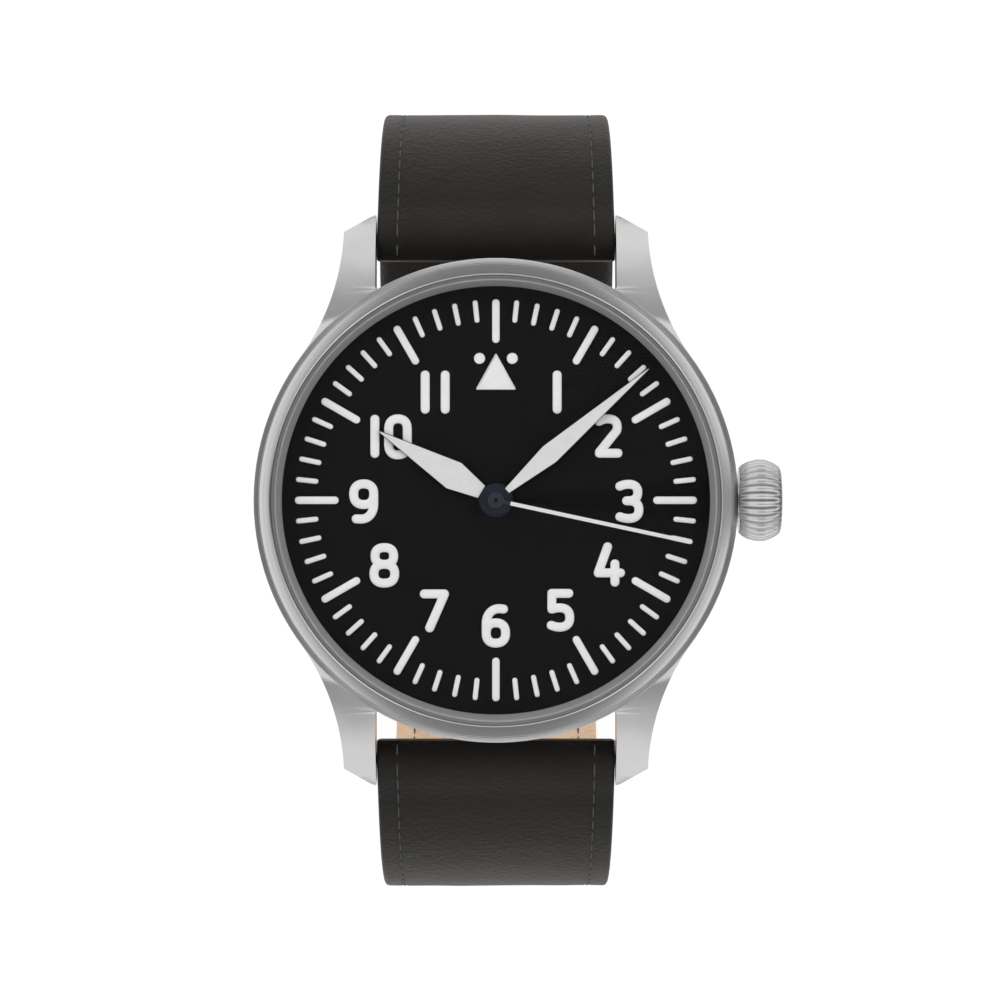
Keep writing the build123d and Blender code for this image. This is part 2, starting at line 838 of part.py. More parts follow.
# Winding stem: turned rod with a square inner end and a groove for the setting lever
square_end_x = winding_x - mesh_gap
with BuildPart() as winding_stem:
    with BuildSketch(Plane.YZ.offset(square_end_x)) as stem_section:
        with Locations((0, crown_z)):
            Circle(stem_radius)
    extrude(amount=crown_start_x + crown_pocket_depth - square_end_x)
    with BuildSketch(Plane.YZ.offset(stem_end_x)) as square_section:
        with Locations((0, crown_z)):
            Rectangle(stem_square, stem_square)
    extrude(amount=square_end_x - stem_end_x)
    with BuildSketch(Plane.YZ.offset(stem_groove_x)) as groove_section:
        with Locations((0, crown_z)):
            Circle(stem_radius + overrun)
            Circle(stem_groove_radius, mode=Mode.SUBTRACT)
    extrude(amount=stem_groove_width, mode=Mode.SUBTRACT)
winding_stem.part.label = "winding_stem"
export_step(winding_stem.part, "parts/winding_stem.step")

# Winding pinion, free on the round of the stem
with BuildPart() as winding_pinion:
    with BuildSketch(Plane.YZ.offset(winding_x)) as winding_face:
        toothed(winding_teeth, winding_radius, half_share * OUTLINE_TURN / winding_teeth - QUARTER_TURN)
        Circle(stem_radius + stem_clearance, mode=Mode.SUBTRACT)
    extrude(winding_face.sketch.moved(Location((0, 0, crown_z))), amount=winding_length)
winding_pinion.part.label = "winding_pinion"
export_step(winding_pinion.part, "parts/winding_pinion.step")

# Sliding pinion on the square of the stem, with the yoke's groove
groove_x = sliding_x + (sliding_length - sliding_groove_width) / 2
square_hole = stem_square + 2 * stem_clearance
with BuildPart() as sliding_pinion:
    with BuildSketch(Plane.YZ.offset(sliding_x)) as sliding_face:
        toothed(sliding_teeth, sliding_radius, QUARTER_TURN)
        Rectangle(square_hole, square_hole, mode=Mode.SUBTRACT)
    extrude(sliding_face.sketch.moved(Location((0, 0, crown_z))), amount=sliding_length)
    with BuildSketch(Plane.YZ.offset(groove_x)) as sliding_groove:
        with Locations((0, crown_z)):
            Circle(sliding_radius + overrun)
            Circle(sliding_groove_radius, mode=Mode.SUBTRACT)
    extrude(amount=sliding_groove_width, mode=Mode.SUBTRACT)
sliding_pinion.part.label = "sliding_pinion"
export_step(sliding_pinion.part, "parts/sliding_pinion.step")

# Crown wheel: lower teeth meet the winding pinion, upper teeth meet the ratchet wheel
ratchet_z = bridge_back_z - mesh_gap - ratchet_t
with BuildPart() as crown_wheel:
    pinion(crown_wheel_place, crown_wheel_level, crown_wheel_level + crown_wheel_t, crown_wheel_teeth,
           crown_wheel_radius, 0)
    shaft(crown_wheel_place, ratchet_z, crown_wheel_level, crown_wheel_arbor_radius)
    upper_phase = HALF_TURN - ratchet_side
    upper_z = ratchet_z + ratchet_t
    pinion(crown_wheel_place, ratchet_z, upper_z, crown_wheel_teeth, crown_wheel_radius, upper_phase)
crown_wheel.part.label = "crown_wheel"
export_step(crown_wheel.part, "parts/crown_wheel.step")

# Ratchet wheel on the barrel arbor
with BuildPart() as ratchet_wheel:
    ratchet_phase = -ratchet_side + half_share * OUTLINE_TURN / ratchet_teeth
    with BuildSketch(spot_plane(barrel_place, ratchet_z)) as ratchet_face:
        toothed(ratchet_teeth, ratchet_radius, ratchet_phase)
        Rectangle(barrel_arbor_radius, barrel_arbor_radius, mode=Mode.SUBTRACT)
    extrude(amount=ratchet_t)
ratchet_wheel.part.label = "ratchet_wheel"
export_step(ratchet_wheel.part, "parts/ratchet_wheel.step")

# Click that holds the ratchet wheel
click_centre_distance = ratchet_radius + click_reach
click_place = on_circle(click_centre_distance, click_angle, barrel_place)
ratchet_tip = tooth_tips(ratchet_teeth, ratchet_radius)[0]
click_nose_place = on_circle(ratchet_tip + click_nose_radius + mesh_gap, click_nose_angle, barrel_place)
with BuildPart() as click:
    with BuildSketch(Plane.XY.offset(ratchet_z)) as click_face:
        with Locations(click_place):
            Circle(click_pivot_radius)
        with Locations(click_nose_place):
            Circle(click_nose_radius)
        make_hull()
    extrude(amount=ratchet_t)
    shaft(click_place, ratchet_z + ratchet_t, bridge_back_z + pivot_depth, post_radius)
click.part.label = "click"
export_step(click.part, "parts/click.step")

# Barrel: toothed drum, its cover, the arbor and the mainspring
drum_radius = barrel_pitch_radius - barrel_drum_draw
drum_bore = drum_radius - barrel_wall
barrel_top_z = barrel_level + barrel_h
cover_z = barrel_top_z - barrel_cover_t
barrel_phase = barrel_angle + HALF_TURN
arbor_clear_radius = barrel_arbor_radius / 2 + pivot_clearance
with BuildPart() as barrel_drum:
    barrel_rim_z = barrel_level + barrel_rim_t
    pinion(barrel_place, barrel_level, barrel_rim_z, barrel_teeth, barrel_pitch_radius, barrel_phase)
    shaft(barrel_place, barrel_level, barrel_top_z, drum_radius)
    shaft(barrel_place, barrel_level + barrel_floor_t, barrel_top_z, drum_bore, Mode.SUBTRACT)
    shaft(barrel_place, barrel_level, barrel_top_z, arbor_clear_radius, Mode.SUBTRACT)
barrel_drum.part.label = "barrel_drum"
export_step(barrel_drum.part, "parts/barrel_drum.step")

with BuildPart() as barrel_cover:
    shaft(barrel_place, cover_z, barrel_top_z, drum_bore)
    shaft(barrel_place, cover_z, barrel_top_z, arbor_clear_radius, Mode.SUBTRACT)
barrel_cover.part.label = "barrel_cover"
export_step(barrel_cover.part, "parts/barrel_cover.step")

arbor_low_z = barrel_level + barrel_floor_t + mesh_gap
arbor_high_z = cover_z - mesh_gap
arbor_pivot_radius = barrel_arbor_radius / 2
plate_pivot_z = barrel_top_z + barrel_clearance + pivot_depth
with BuildPart() as barrel_arbor:
    shaft(barrel_place, arbor_low_z, arbor_high_z, barrel_arbor_radius)
    shaft(barrel_place, ratchet_z + ratchet_t, plate_pivot_z, arbor_pivot_radius)
    with BuildSketch(spot_plane(barrel_place, ratchet_z)) as arbor_square:
        Rectangle(barrel_arbor_radius, barrel_arbor_radius)
        Circle(arbor_pivot_radius, mode=Mode.INTERSECT)
    extrude(amount=ratchet_t)
barrel_arbor.part.label = "barrel_arbor"
export_step(barrel_arbor.part, "parts/barrel_arbor.step")

with BuildPart() as mainspring:
    with BuildSketch(spot_plane(barrel_place, arbor_low_z)) as spring_strip:
        spiral_strip(mainspring_turns, mainspring_start, mainspring_pitch, mainspring_t)
    extrude(amount=arbor_high_z - arbor_low_z)
mainspring.part.label = "mainspring"
export_step(mainspring.part, "parts/mainspring.step")
print("mainspring gap", round(mainspring_pitch - mainspring_t, 3))

# Centre wheel: wheel, pinion and pipe that carries the cannon pinion
cannon_low_z = plate_front_z + motion_gap
with BuildPart() as centre_wheel:
    spoked_wheel((0, 0), centre_level, centre_teeth, centre_wheel_radius, third_angle)
    pinion((0, 0), centre_level + wheel_t, barrel_level + barrel_rim_t, centre_leaves, centre_pinion_radius,
           barrel_angle + half_share * OUTLINE_TURN / centre_leaves)
    shaft((0, 0), barrel_level, minute_hand_z - lume_t, centre_pipe_radius)
    shaft((0, 0), centre_level, minute_hand_z, centre_pipe_bore, Mode.SUBTRACT)
centre_wheel.part.label = "centre_wheel"
export_step(centre_wheel.part, "parts/centre_wheel.step")

# Third wheel
arbor_top_z = plate_back_z - mesh_gap
with BuildPart() as third_wheel:
    spoked_wheel(third_place, third_level, third_teeth, third_wheel_radius, third_angle + HALF_TURN)
    pinion(third_place, third_level + wheel_t, centre_level + 2 * wheel_t, third_leaves, third_pinion_radius,
           third_angle + HALF_TURN + half_share * OUTLINE_TURN / third_leaves)
    shaft(third_place, bridge_front_z + mesh_gap, arbor_top_z, arbor_radius)
    shaft(third_place, bridge_front_z - pivot_depth, plate_back_z + pivot_depth, pivot_radius)
third_wheel.part.label = "third_wheel"
export_step(third_wheel.part, "parts/third_wheel.step")

# Fourth wheel with the long arbor that carries the seconds hand
with BuildPart() as fourth_wheel:
    spoked_wheel((0, 0), fourth_level, fourth_teeth, fourth_wheel_radius, escape_angle)
    pinion((0, 0), fourth_level + wheel_t, third_level + wheel_t, fourth_leaves, fourth_pinion_radius,
           third_angle + half_share * OUTLINE_TURN / fourth_leaves)
    shaft((0, 0), bridge_front_z - pivot_depth, fourth_level, pivot_radius)
    shaft((0, 0), fourth_level, seconds_hand_z + seconds_hand_t + lume_t, seconds_arbor_radius)
fourth_wheel.part.label = "fourth_wheel"
export_step(fourth_wheel.part, "parts/fourth_wheel.step")

# Escape wheel: club teeth and pinion
escape_wheel_z = barrel_level
with BuildPart() as escape_wheel:
    with BuildSketch(spot_plane(escape_place, escape_wheel_z)) as escape_face:
        escape_step = OUTLINE_TURN / escape_teeth
        escape_points = []
        for tooth in range(escape_teeth):
            escape_points.append(on_circle(escape_radius, tooth * escape_step))
            heel_angle = (tooth + escape_lean_share) * escape_step
            root_angle = (tooth + half_share / 2) * escape_step
            escape_points.append(on_circle(escape_heel_share * escape_radius, heel_angle))
            escape_points.append(on_circle(escape_root_share * escape_radius, root_angle))
        with BuildLine():
            Polyline(*escape_points, close=True)
        make_face()
    extrude(amount=wheel_t)
    pinion(escape_place, fourth_level, third_level + wheel_t, escape_leaves, escape_pinion_radius,
           escape_angle + HALF_TURN + half_share * OUTLINE_TURN / escape_leaves)
    shaft(escape_place, bridge_front_z + mesh_gap, arbor_top_z, arbor_radius)
    shaft(escape_place, bridge_front_z - pivot_depth, plate_back_z + pivot_depth, pivot_radius)
escape_wheel.part.label = "escape_wheel"
export_step(escape_wheel.part, "parts/escape_wheel.step")

# Pallet fork, drawn with x towards the balance
fork_plane = spot_plane(pallet_place, escape_wheel_z, balance_angle)
with BuildPart() as pallet_fork:
    with BuildSketch(fork_plane) as fork_face:
        arm_angles = (HALF_TURN - pallet_arm_spread, HALF_TURN + pallet_arm_spread)
        arm_ends = [on_circle(pallet_arm, arm_angle) for arm_angle in arm_angles]
        with Locations((fork_length / 2, 0)):
            Rectangle(fork_length, pallet_arm_width)
        with Locations((fork_length - fork_notch_depth / 2, 0)):
            Rectangle(fork_notch_depth, fork_head_width)
        for arm_end in arm_ends:
            with BuildLine() as arm_line:
                Line((0, 0), arm_end)
            trace(arm_line.edges(), pallet_arm_width)
        Circle(2 * arbor_radius)
        with Locations((fork_length - fork_notch_depth / 2, 0)):
            Rectangle(fork_notch_depth, fork_notch_width, mode=Mode.SUBTRACT)
    extrude(amount=pallet_t)
    shaft(pallet_place, bridge_front_z + balance_window, arbor_top_z, pivot_radius)
pallet_fork.part.label = "pallet_fork"
export_step(pallet_fork.part, "parts/pallet_fork.step")

# Pallet bridge: small bar on two feet over the fork's arbor
pallet_bridge_z = escape_wheel_z - pallet_bridge_lift - pallet_bridge_t
bridge_angles = (balance_angle - QUARTER_TURN, balance_angle + QUARTER_TURN)
bridge_ends = [on_circle(pallet_bridge_half, bridge_angle, pallet_place) for bridge_angle in bridge_angles]
with BuildPart() as pallet_bridge:
    with BuildSketch(Plane.XY.offset(pallet_bridge_z)) as pallet_bridge_face:
        with Locations(*bridge_ends):
            Circle(pallet_bridge_radius)
        make_hull()
    extrude(amount=pallet_bridge_t)
    for bridge_end in bridge_ends:
        shaft(bridge_end, pallet_bridge_z, plate_back_z, pallet_bridge_radius)
    bridge_hole_radius = pivot_radius + pivot_clearance
    shaft(pallet_place, pallet_bridge_z, pallet_bridge_z + pallet_bridge_t, bridge_hole_radius, Mode.SUBTRACT)
pallet_bridge.part.label = "pallet_bridge"
export_step(pallet_bridge.part, "parts/pallet_bridge.step")

# Balance wheel: rim, arms, staff, roller with its pin
hairspring_z = balance_z - hairspring_h - end_play
roller_z = escape_wheel_z - mesh_gap - roller_t - pallet_t / 2
with BuildPart() as balance_wheel:
    with BuildSketch(spot_plane(balance_place, balance_z, balance_angle)) as balance_face:
        Circle(balance_radius)
        Circle(balance_radius - balance_rim_width, mode=Mode.SUBTRACT)
        Rectangle(2 * balance_radius - balance_rim_width, balance_arm_width)
        Circle(collet_radius)
    extrude(amount=balance_t)
    shaft(balance_place, bridge_back_z + pivot_clearance, plate_back_z + pivot_depth, balance_staff_radius)
    shaft(balance_place, hairspring_z, balance_z, collet_radius)
    shaft(balance_place, roller_z, roller_z + roller_t, roller_radius)
    pin_place = on_circle(roller_pin_reach, balance_angle + HALF_TURN, balance_place)
    shaft(pin_place, roller_z, escape_wheel_z + pallet_t, roller_pin_radius)
balance_wheel.part.label = "balance_wheel"
export_step(balance_wheel.part, "parts/balance_wheel.step")

# Hairspring above the balance, held by a stud under the cock
with BuildPart() as hairspring:
    with BuildSketch(spot_plane(balance_place, hairspring_z, cock_angle)) as hair_strip:
        spiral_strip(hairspring_turns, hairspring_start, hairspring_pitch, hairspring_t)
    extrude(amount=hairspring_h)
hairspring.part.label = "hairspring"
print("hairspring gap", round(hairspring_pitch - hairspring_t, 3))
export_step(hairspring.part, "parts/hairspring.step")

# Main plate with its pockets, windows and pivot holes
pivot_hole_radius = pivot_radius + pivot_clearance
window_end_x = winding_x + winding_length + end_play
window_start_x = stem_end_x - window_clearance
window_half = winding_radius + window_clearance
with BuildPart() as main_plate:
    shaft((0, 0), plate_back_z, plate_front_z, movement_radius)
    barrel_pocket_radius = barrel_pitch_radius + window_clearance
    shaft(barrel_place, plate_back_z, barrel_top_z + barrel_clearance, barrel_pocket_radius, Mode.SUBTRACT)
    shaft(barrel_place, plate_back_z, plate_front_z, arbor_pivot_radius + pivot_clearance, Mode.SUBTRACT)
    shaft((0, 0), plate_back_z, plate_front_z, centre_pipe_radius + pivot_clearance, Mode.SUBTRACT)
    for pivot_place in (third_place, escape_place):
        shaft(pivot_place, plate_back_z, plate_pivot_z, pivot_hole_radius, Mode.SUBTRACT)
    staff_hole_radius = balance_staff_radius + pivot_clearance
    shaft(balance_place, plate_back_z, plate_pivot_z, staff_hole_radius, Mode.SUBTRACT)
    for foot_place in foot_places:
        shaft(foot_place, plate_back_z, plate_front_z, dial_foot_radius + foot_clearance, Mode.SUBTRACT)
    for post_place in (minute_wheel_place, setting_place):
        shaft(post_place, plate_front_z, dial_back_z - motion_gap, minute_post_radius)
    for pivot_place in (lever_pivot, yoke_pivot):
        post_hole_radius = post_radius + pivot_clearance
        shaft(pivot_place, plate_front_z - post_h, plate_front_z, post_hole_radius, Mode.SUBTRACT)
    with BuildSketch(Plane.XY.offset(plate_back_z)) as keyless_window:
        with Locations(((window_start_x + window_end_x) / 2, 0)):
            Rectangle(window_end_x - window_start_x, 2 * window_half)
    extrude(amount=plate_front_z - plate_back_z, mode=Mode.SUBTRACT)
    with BuildSketch(Plane.YZ.offset(window_start_x)) as stem_hole:
        with Locations((0, crown_z)):
            Circle(stem_hole_radius)
    extrude(amount=movement_radius, mode=Mode.SUBTRACT)
    with BuildSketch(Plane.XY.offset(crown_z)) as lever_slot:
        with Locations(((stem_groove_x + movement_radius) / 2 - lever_pin_radius, 0)):
            Rectangle(movement_radius - stem_groove_x + overrun, 2 * lever_slot_half)
    extrude(amount=plate_front_z - crown_z, mode=Mode.SUBTRACT)
main_plate.part.label = "main_plate"
export_step(main_plate.part, "parts/main_plate.step")

# Bridges on the back of the movement, split along one line
split_line = scaled(bridge_split_shares, bridge_radius)
far_y = 2 * bridge_radius
upper_outline = [*split_line, (split_line[-1][0], far_y), (split_line[0][0], far_y)]
lower_line = [(x, y - bridge_gap) for x, y in split_line[:4]]
lower_outline = [*lower_line, (lower_line[-1][0] - bridge_gap, -far_y), (split_line[0][0], -far_y)]
train_foot_radius = bridge_radius - train_foot_width
with BuildPart() as barrel_bridge:
    with BuildSketch(Plane.XY.offset(bridge_back_z)) as upper_face:
        Circle(bridge_radius)
        with BuildLine():
            Polyline(*upper_outline, close=True)
        make_face(mode=Mode.INTERSECT)
    extrude(amount=bridge_t)
    with BuildSketch(Plane.XY.offset(bridge_front_z)) as upper_feet:
        Circle(bridge_radius)
        with BuildLine():
            Polyline(*upper_outline, close=True)
        make_face(mode=Mode.INTERSECT)
        Circle(barrel_foot_radius, mode=Mode.SUBTRACT)
        with Locations((bridge_radius, 0)):
            Rectangle(bridge_radius, 2 * keyless_window_half, mode=Mode.SUBTRACT)
    extrude(amount=train_h)
    shaft(barrel_place, bridge_back_z, bridge_front_z, arbor_pivot_radius + pivot_clearance, Mode.SUBTRACT)
    arbor_hole_radius = crown_wheel_arbor_radius + pivot_clearance
    shaft(crown_wheel_place, bridge_back_z, bridge_front_z, arbor_hole_radius, Mode.SUBTRACT)
    shaft(click_place, bridge_back_z, bridge_front_z, post_radius + pivot_clearance, Mode.SUBTRACT)
barrel_bridge.part.label = "barrel_bridge"
export_step(barrel_bridge.part, "parts/barrel_bridge.step")

balance_clear_radius = balance_radius + balance_window
with BuildPart() as train_bridge:
    with BuildSketch(Plane.XY.offset(bridge_back_z)) as lower_face:
        Circle(bridge_radius)
        with BuildLine():
            Polyline(*lower_outline, close=True)
        make_face(mode=Mode.INTERSECT)
        with Locations(balance_place):
            Circle(balance_clear_radius, mode=Mode.SUBTRACT)
    extrude(amount=bridge_t)
    with BuildSketch(Plane.XY.offset(bridge_front_z)) as lower_feet:
        Circle(bridge_radius)
        with BuildLine():
            Polyline(*lower_outline, close=True)
        make_face(mode=Mode.INTERSECT)
        Circle(train_foot_radius, mode=Mode.SUBTRACT)
        with Locations(balance_place):
            Circle(balance_clear_radius, mode=Mode.SUBTRACT)
    extrude(amount=train_h)
    for pivot_place in ((0, 0), third_place, escape_place):
        shaft(pivot_place, bridge_back_z, bridge_front_z, jewel_radius, Mode.SUBTRACT)
train_bridge.part.label = "train_bridge"
export_step(train_bridge.part, "parts/train_bridge.step")

# Balance cock: tapered arm from its foot at the rim to the balance staff, with the hairspring stud
cock_z = bridge_back_z
with BuildPart() as balance_cock:
    with BuildSketch(Plane.XY.offset(cock_z)) as cock_face:
        with Locations(cock_foot_place):
            Circle(cock_foot_radius)
        with Locations(balance_place):
            Circle(cock_end_radius)
        make_hull()
    extrude(amount=cock_t)
    shaft(cock_foot_place, cock_z, plate_back_z, cock_foot_radius)
    with BuildSketch(spot_plane(balance_place, cock_z, cock_angle)) as stud_face:
        with Locations((hairspring_start + hairspring_turns * hairspring_pitch, stud_size / 2)):
            Rectangle(stud_size, stud_size)
    extrude(amount=hairspring_z + hairspring_h - cock_z)
    shaft(balance_place, cock_z, cock_z + cock_t, jewel_radius, Mode.SUBTRACT)
balance_cock.part.label = "balance_cock"
export_step(balance_cock.part, "parts/balance_cock.step")

# Jewels pressed into the bridges and the cock
with BuildPart() as jewels:
    for jewel_place in ((0, 0), third_place, escape_place):
        shaft(jewel_place, bridge_back_z, bridge_front_z, jewel_radius)
        shaft(jewel_place, bridge_back_z, bridge_front_z, pivot_hole_radius, Mode.SUBTRACT)
    shaft(balance_place, cock_z, cock_z + cock_t, jewel_radius)
    shaft(balance_place, cock_z, cock_z + cock_t, staff_hole_radius, Mode.SUBTRACT)
jewels.part.label = "jewels"
export_step(jewels.part, "parts/jewels.step")

# Slotted screw heads that hold the bridges and the cock
screw_places = [*scaled(screw_place_shares, bridge_radius), cock_foot_place]
with BuildPart() as bridge_screws:
    for screw_place in screw_places:
        shaft(screw_place, bridge_back_z - screw_head_h, bridge_back_z, screw_head_radius)
        with BuildSketch(spot_plane(screw_place, bridge_back_z - screw_head_h, third_angle)) as screw_slot:
            Rectangle(2 * screw_head_radius + overrun, screw_slot_width)
        extrude(amount=screw_slot_depth, mode=Mode.SUBTRACT)
bridge_screws.part.label = "bridge_screws"
export_step(bridge_screws.part, "parts/bridge_screws.step")

with BuildPart() as ratchet_screw:
    shaft(barrel_place, ratchet_z - screw_head_h, ratchet_z, ratchet_hub_radius)
    with BuildSketch(spot_plane(barrel_place, ratchet_z - screw_head_h, third_angle)) as ratchet_slot:
        Rectangle(2 * ratchet_hub_radius + overrun, screw_slot_width)
    extrude(amount=screw_slot_depth, mode=Mode.SUBTRACT)
ratchet_screw.part.label = "ratchet_screw"
export_step(ratchet_screw.part, "parts/ratchet_screw.step")

# Motion work under the dial: cannon pinion, minute wheel, hour wheel and setting wheel
cannon_top_z = minute_hand_z + minute_hand_t
hour_level = cannon_low_z + motion_wheel_t + motion_gap
with BuildPart() as cannon_pinion:
    pinion((0, 0), cannon_low_z, cannon_low_z + motion_wheel_t, cannon_teeth, cannon_pitch_radius,
           minute_wheel_angle + half_share * OUTLINE_TURN / cannon_teeth)
    shaft((0, 0), cannon_low_z + motion_wheel_t, cannon_top_z, cannon_radius)
    shaft((0, 0), cannon_low_z, cannon_top_z, centre_pipe_radius, Mode.SUBTRACT)
cannon_pinion.part.label = "cannon_pinion"
export_step(cannon_pinion.part, "parts/cannon_pinion.step")

minute_bore = minute_post_radius + pivot_clearance
with BuildPart() as minute_wheel:
    pinion(minute_wheel_place, cannon_low_z, cannon_low_z + motion_wheel_t, minute_teeth, minute_wheel_radius,
           minute_wheel_angle + HALF_TURN)
    pinion(minute_wheel_place, cannon_low_z + motion_wheel_t, hour_level + motion_wheel_t, minute_leaves,
           minute_pinion_radius, minute_wheel_angle + HALF_TURN + half_share * OUTLINE_TURN / minute_leaves)
    shaft(minute_wheel_place, cannon_low_z, hour_level + motion_wheel_t, minute_bore, Mode.SUBTRACT)
minute_wheel.part.label = "minute_wheel"
export_step(minute_wheel.part, "parts/minute_wheel.step")

hour_pipe_top_z = hour_hand_z + hour_hand_t
with BuildPart() as hour_wheel:
    pinion((0, 0), hour_level, hour_level + motion_wheel_t, hour_teeth, hour_wheel_radius, minute_wheel_angle)
    shaft((0, 0), hour_level, hour_pipe_top_z, hour_pipe_radius)
    shaft((0, 0), hour_level, hour_pipe_top_z, hour_pipe_bore, Mode.SUBTRACT)
hour_wheel.part.label = "hour_wheel"
export_step(hour_wheel.part, "parts/hour_wheel.step")

setting_phase = setting_side + HALF_TURN + half_share * OUTLINE_TURN / setting_teeth
with BuildPart() as setting_wheel:
    setting_top_z = cannon_low_z + motion_wheel_t
    pinion(setting_place, cannon_low_z, setting_top_z, setting_teeth, setting_radius, setting_phase)
    shaft(setting_place, cannon_low_z, cannon_low_z + motion_wheel_t, minute_bore, Mode.SUBTRACT)
setting_wheel.part.label = "setting_wheel"
export_step(setting_wheel.part, "parts/setting_wheel.step")

# Setting lever with its pin in the stem's groove, and the yoke with its finger in the sliding pinion
keyless_z = plate_front_z + motion_gap
lever_tip = (stem_groove_x + stem_groove_width / 2, 0)
yoke_tip = (groove_x + sliding_groove_width / 2, 0)
with BuildPart() as setting_lever:
    with BuildSketch(Plane.XY.offset(keyless_z)) as lever_face:
        with Locations(lever_pivot):
            Circle(lever_pivot_radius)
        with Locations(lever_tip):
            Circle(lever_tip_radius)
        make_hull()
    extrude(amount=keyless_t)
    shaft(lever_pivot, plate_front_z - post_h, keyless_z, post_radius)
    shaft(lever_tip, crown_z + stem_groove_radius + pipe_clearance, keyless_z, lever_pin_radius)
setting_lever.part.label = "setting_lever"
export_step(setting_lever.part, "parts/setting_lever.step")

with BuildPart() as yoke:
    with BuildSketch(Plane.XY.offset(keyless_z)) as yoke_face:
        with Locations(yoke_pivot):
            Circle(yoke_pivot_radius)
        with Locations(yoke_tip):
            Circle(yoke_tip_radius)
        make_hull()
    extrude(amount=keyless_t)
    shaft(yoke_pivot, plate_front_z - post_h, keyless_z, post_radius)
yoke.part.label = "yoke"
export_step(yoke.part, "parts/yoke.step")


def blade_face(blade, inset=0):
    """Pointed blade along x from rows of (reach, half width)."""
    side = [(reach, half - inset) for reach, half in blade]
    with BuildLine() as outline:
        Polyline(*side, *[(reach, -half) for reach, half in reversed(side)], close=True)
    make_face(outline.edges())


def lume_rows(blade):
    """Blade rows of the lume: from the second row to just short of the tip."""
    tip_reach, tip_half = blade[-1]
    return (*blade[1:-1], (tip_reach - lume_inset, tip_half))


# Hands: flat sheets on their pipes, with lume on the blades
with BuildPart() as hour_hand:
    with BuildSketch(clock_plane(hour_hand_angle, hour_hand_z)) as hour_hand_face:
        blade_face(hour_blade)
        Circle(hour_hub_radius)
        Circle(hour_pipe_radius, mode=Mode.SUBTRACT)
    extrude(amount=hour_hand_t)
hour_hand.part.label = "hour_hand"
export_step(hour_hand.part, "parts/hour_hand.step")

with BuildPart() as hour_lume:
    with BuildSketch(clock_plane(hour_hand_angle, hour_hand_z + hour_hand_t)) as hour_lume_face:
        blade_face(lume_rows(hour_blade), lume_inset)
    extrude(amount=lume_t)
hour_lume.part.label = "hour_lume"
export_step(hour_lume.part, "parts/hour_lume.step")

with BuildPart() as minute_hand:
    with BuildSketch(clock_plane(minute_hand_angle, minute_hand_z)) as minute_hand_face:
        blade_face(minute_blade)
        Circle(minute_hub_radius)
        Circle(cannon_radius, mode=Mode.SUBTRACT)
    extrude(amount=minute_hand_t)
minute_hand.part.label = "minute_hand"
export_step(minute_hand.part, "parts/minute_hand.step")

with BuildPart() as minute_lume:
    with BuildSketch(clock_plane(minute_hand_angle, minute_hand_z + minute_hand_t)) as minute_lume_face:
        blade_face(lume_rows(minute_blade), lume_inset)
    extrude(amount=lume_t)
minute_lume.part.label = "minute_lume"
export_step(minute_lume.part, "parts/minute_lume.step")

with BuildPart() as seconds_hand:
    with BuildSketch(clock_plane(seconds_hand_angle, seconds_hand_z)) as seconds_hand_face:
        with Locations(((seconds_reach - seconds_width / 2) / 2, 0)):
            Rectangle(seconds_reach - seconds_width / 2, seconds_width)
        with Locations((seconds_reach - seconds_width / 2, 0)):
            Circle(seconds_width / 2)
        Circle(seconds_hub_radius)
        Circle(seconds_arbor_radius, mode=Mode.SUBTRACT)
    extrude(amount=seconds_hand_t)
seconds_hand.part.label = "seconds_hand"
export_step(seconds_hand.part, "parts/seconds_hand.step")

# Spring bars between the lugs: body and tips
with BuildPart() as spring_bars:
    with BuildSketch(Plane.YZ) as bar_bodies:
        with Locations((bar_y, bar_z), (-bar_y, bar_z)):
            Circle(bar_radius)
    extrude(bar_bodies.sketch, amount=inner_x - bar_clearance, both=True)
    with BuildSketch(Plane.YZ) as bar_tips:
        with Locations((bar_y, bar_z), (-bar_y, bar_z)):
            Circle(bar_tip_radius)
    extrude(bar_tips.sketch, amount=inner_x + bar_tip_depth, both=True)
spring_bars.part.label = "spring_bars"
export_step(spring_bars.part, "parts/spring_bars.step")

# Strap route in the (y, z) plane: both halves leave the lugs on one shoulder bend
wrist_z = bar_z - shoulder_bend * sin(radians(leave_angle))
shoulder_y = bar_y - shoulder_bend * cos(radians(leave_angle))
side_y = shoulder_y + shoulder_bend
short_centre = (side_y - short_bend, wrist_z)
tail_bend = short_bend + leather_t + layer_gap + lining_t
short_seam_z = wrist_z - short_bend
long_seam_z = wrist_z - tail_bend

# The long half turns in two bends that meet its flat stretch under the buckle
side_sine = sin(radians(long_side_angle))
side_cosine = cos(radians(long_side_angle))
bend_divisor = 1 - side_cosine - side_cosine * side_sine / (1 - side_sine)
long_side_bend = (side_y + long_flat_y - side_cosine * tail_bend / (1 - side_sine)) / bend_divisor
long_low_bend = (tail_bend - long_side_bend * side_sine) / (1 - side_sine)
long_side_centre = (long_side_bend - side_y, wrist_z)
long_low_centre = (long_flat_y, long_seam_z + long_low_bend)


def flat_piece(start, end, low, high):
    """Rectangle between two places along the strap and two heights."""
    with Locations(((start + end) / 2, (low + high) / 2)):
        Rectangle(end - start, high - low)


def short_layer(low, high, start_angle, shoulder_turn):
    """Bent part of a layer of the short half, between two distances from the seam."""
    ring_piece(short_centre, short_bend + low, short_bend + high, start_angle, -start_angle)
    ring_piece((shoulder_y, wrist_z), shoulder_bend + low, shoulder_bend + high, 0, shoulder_turn)


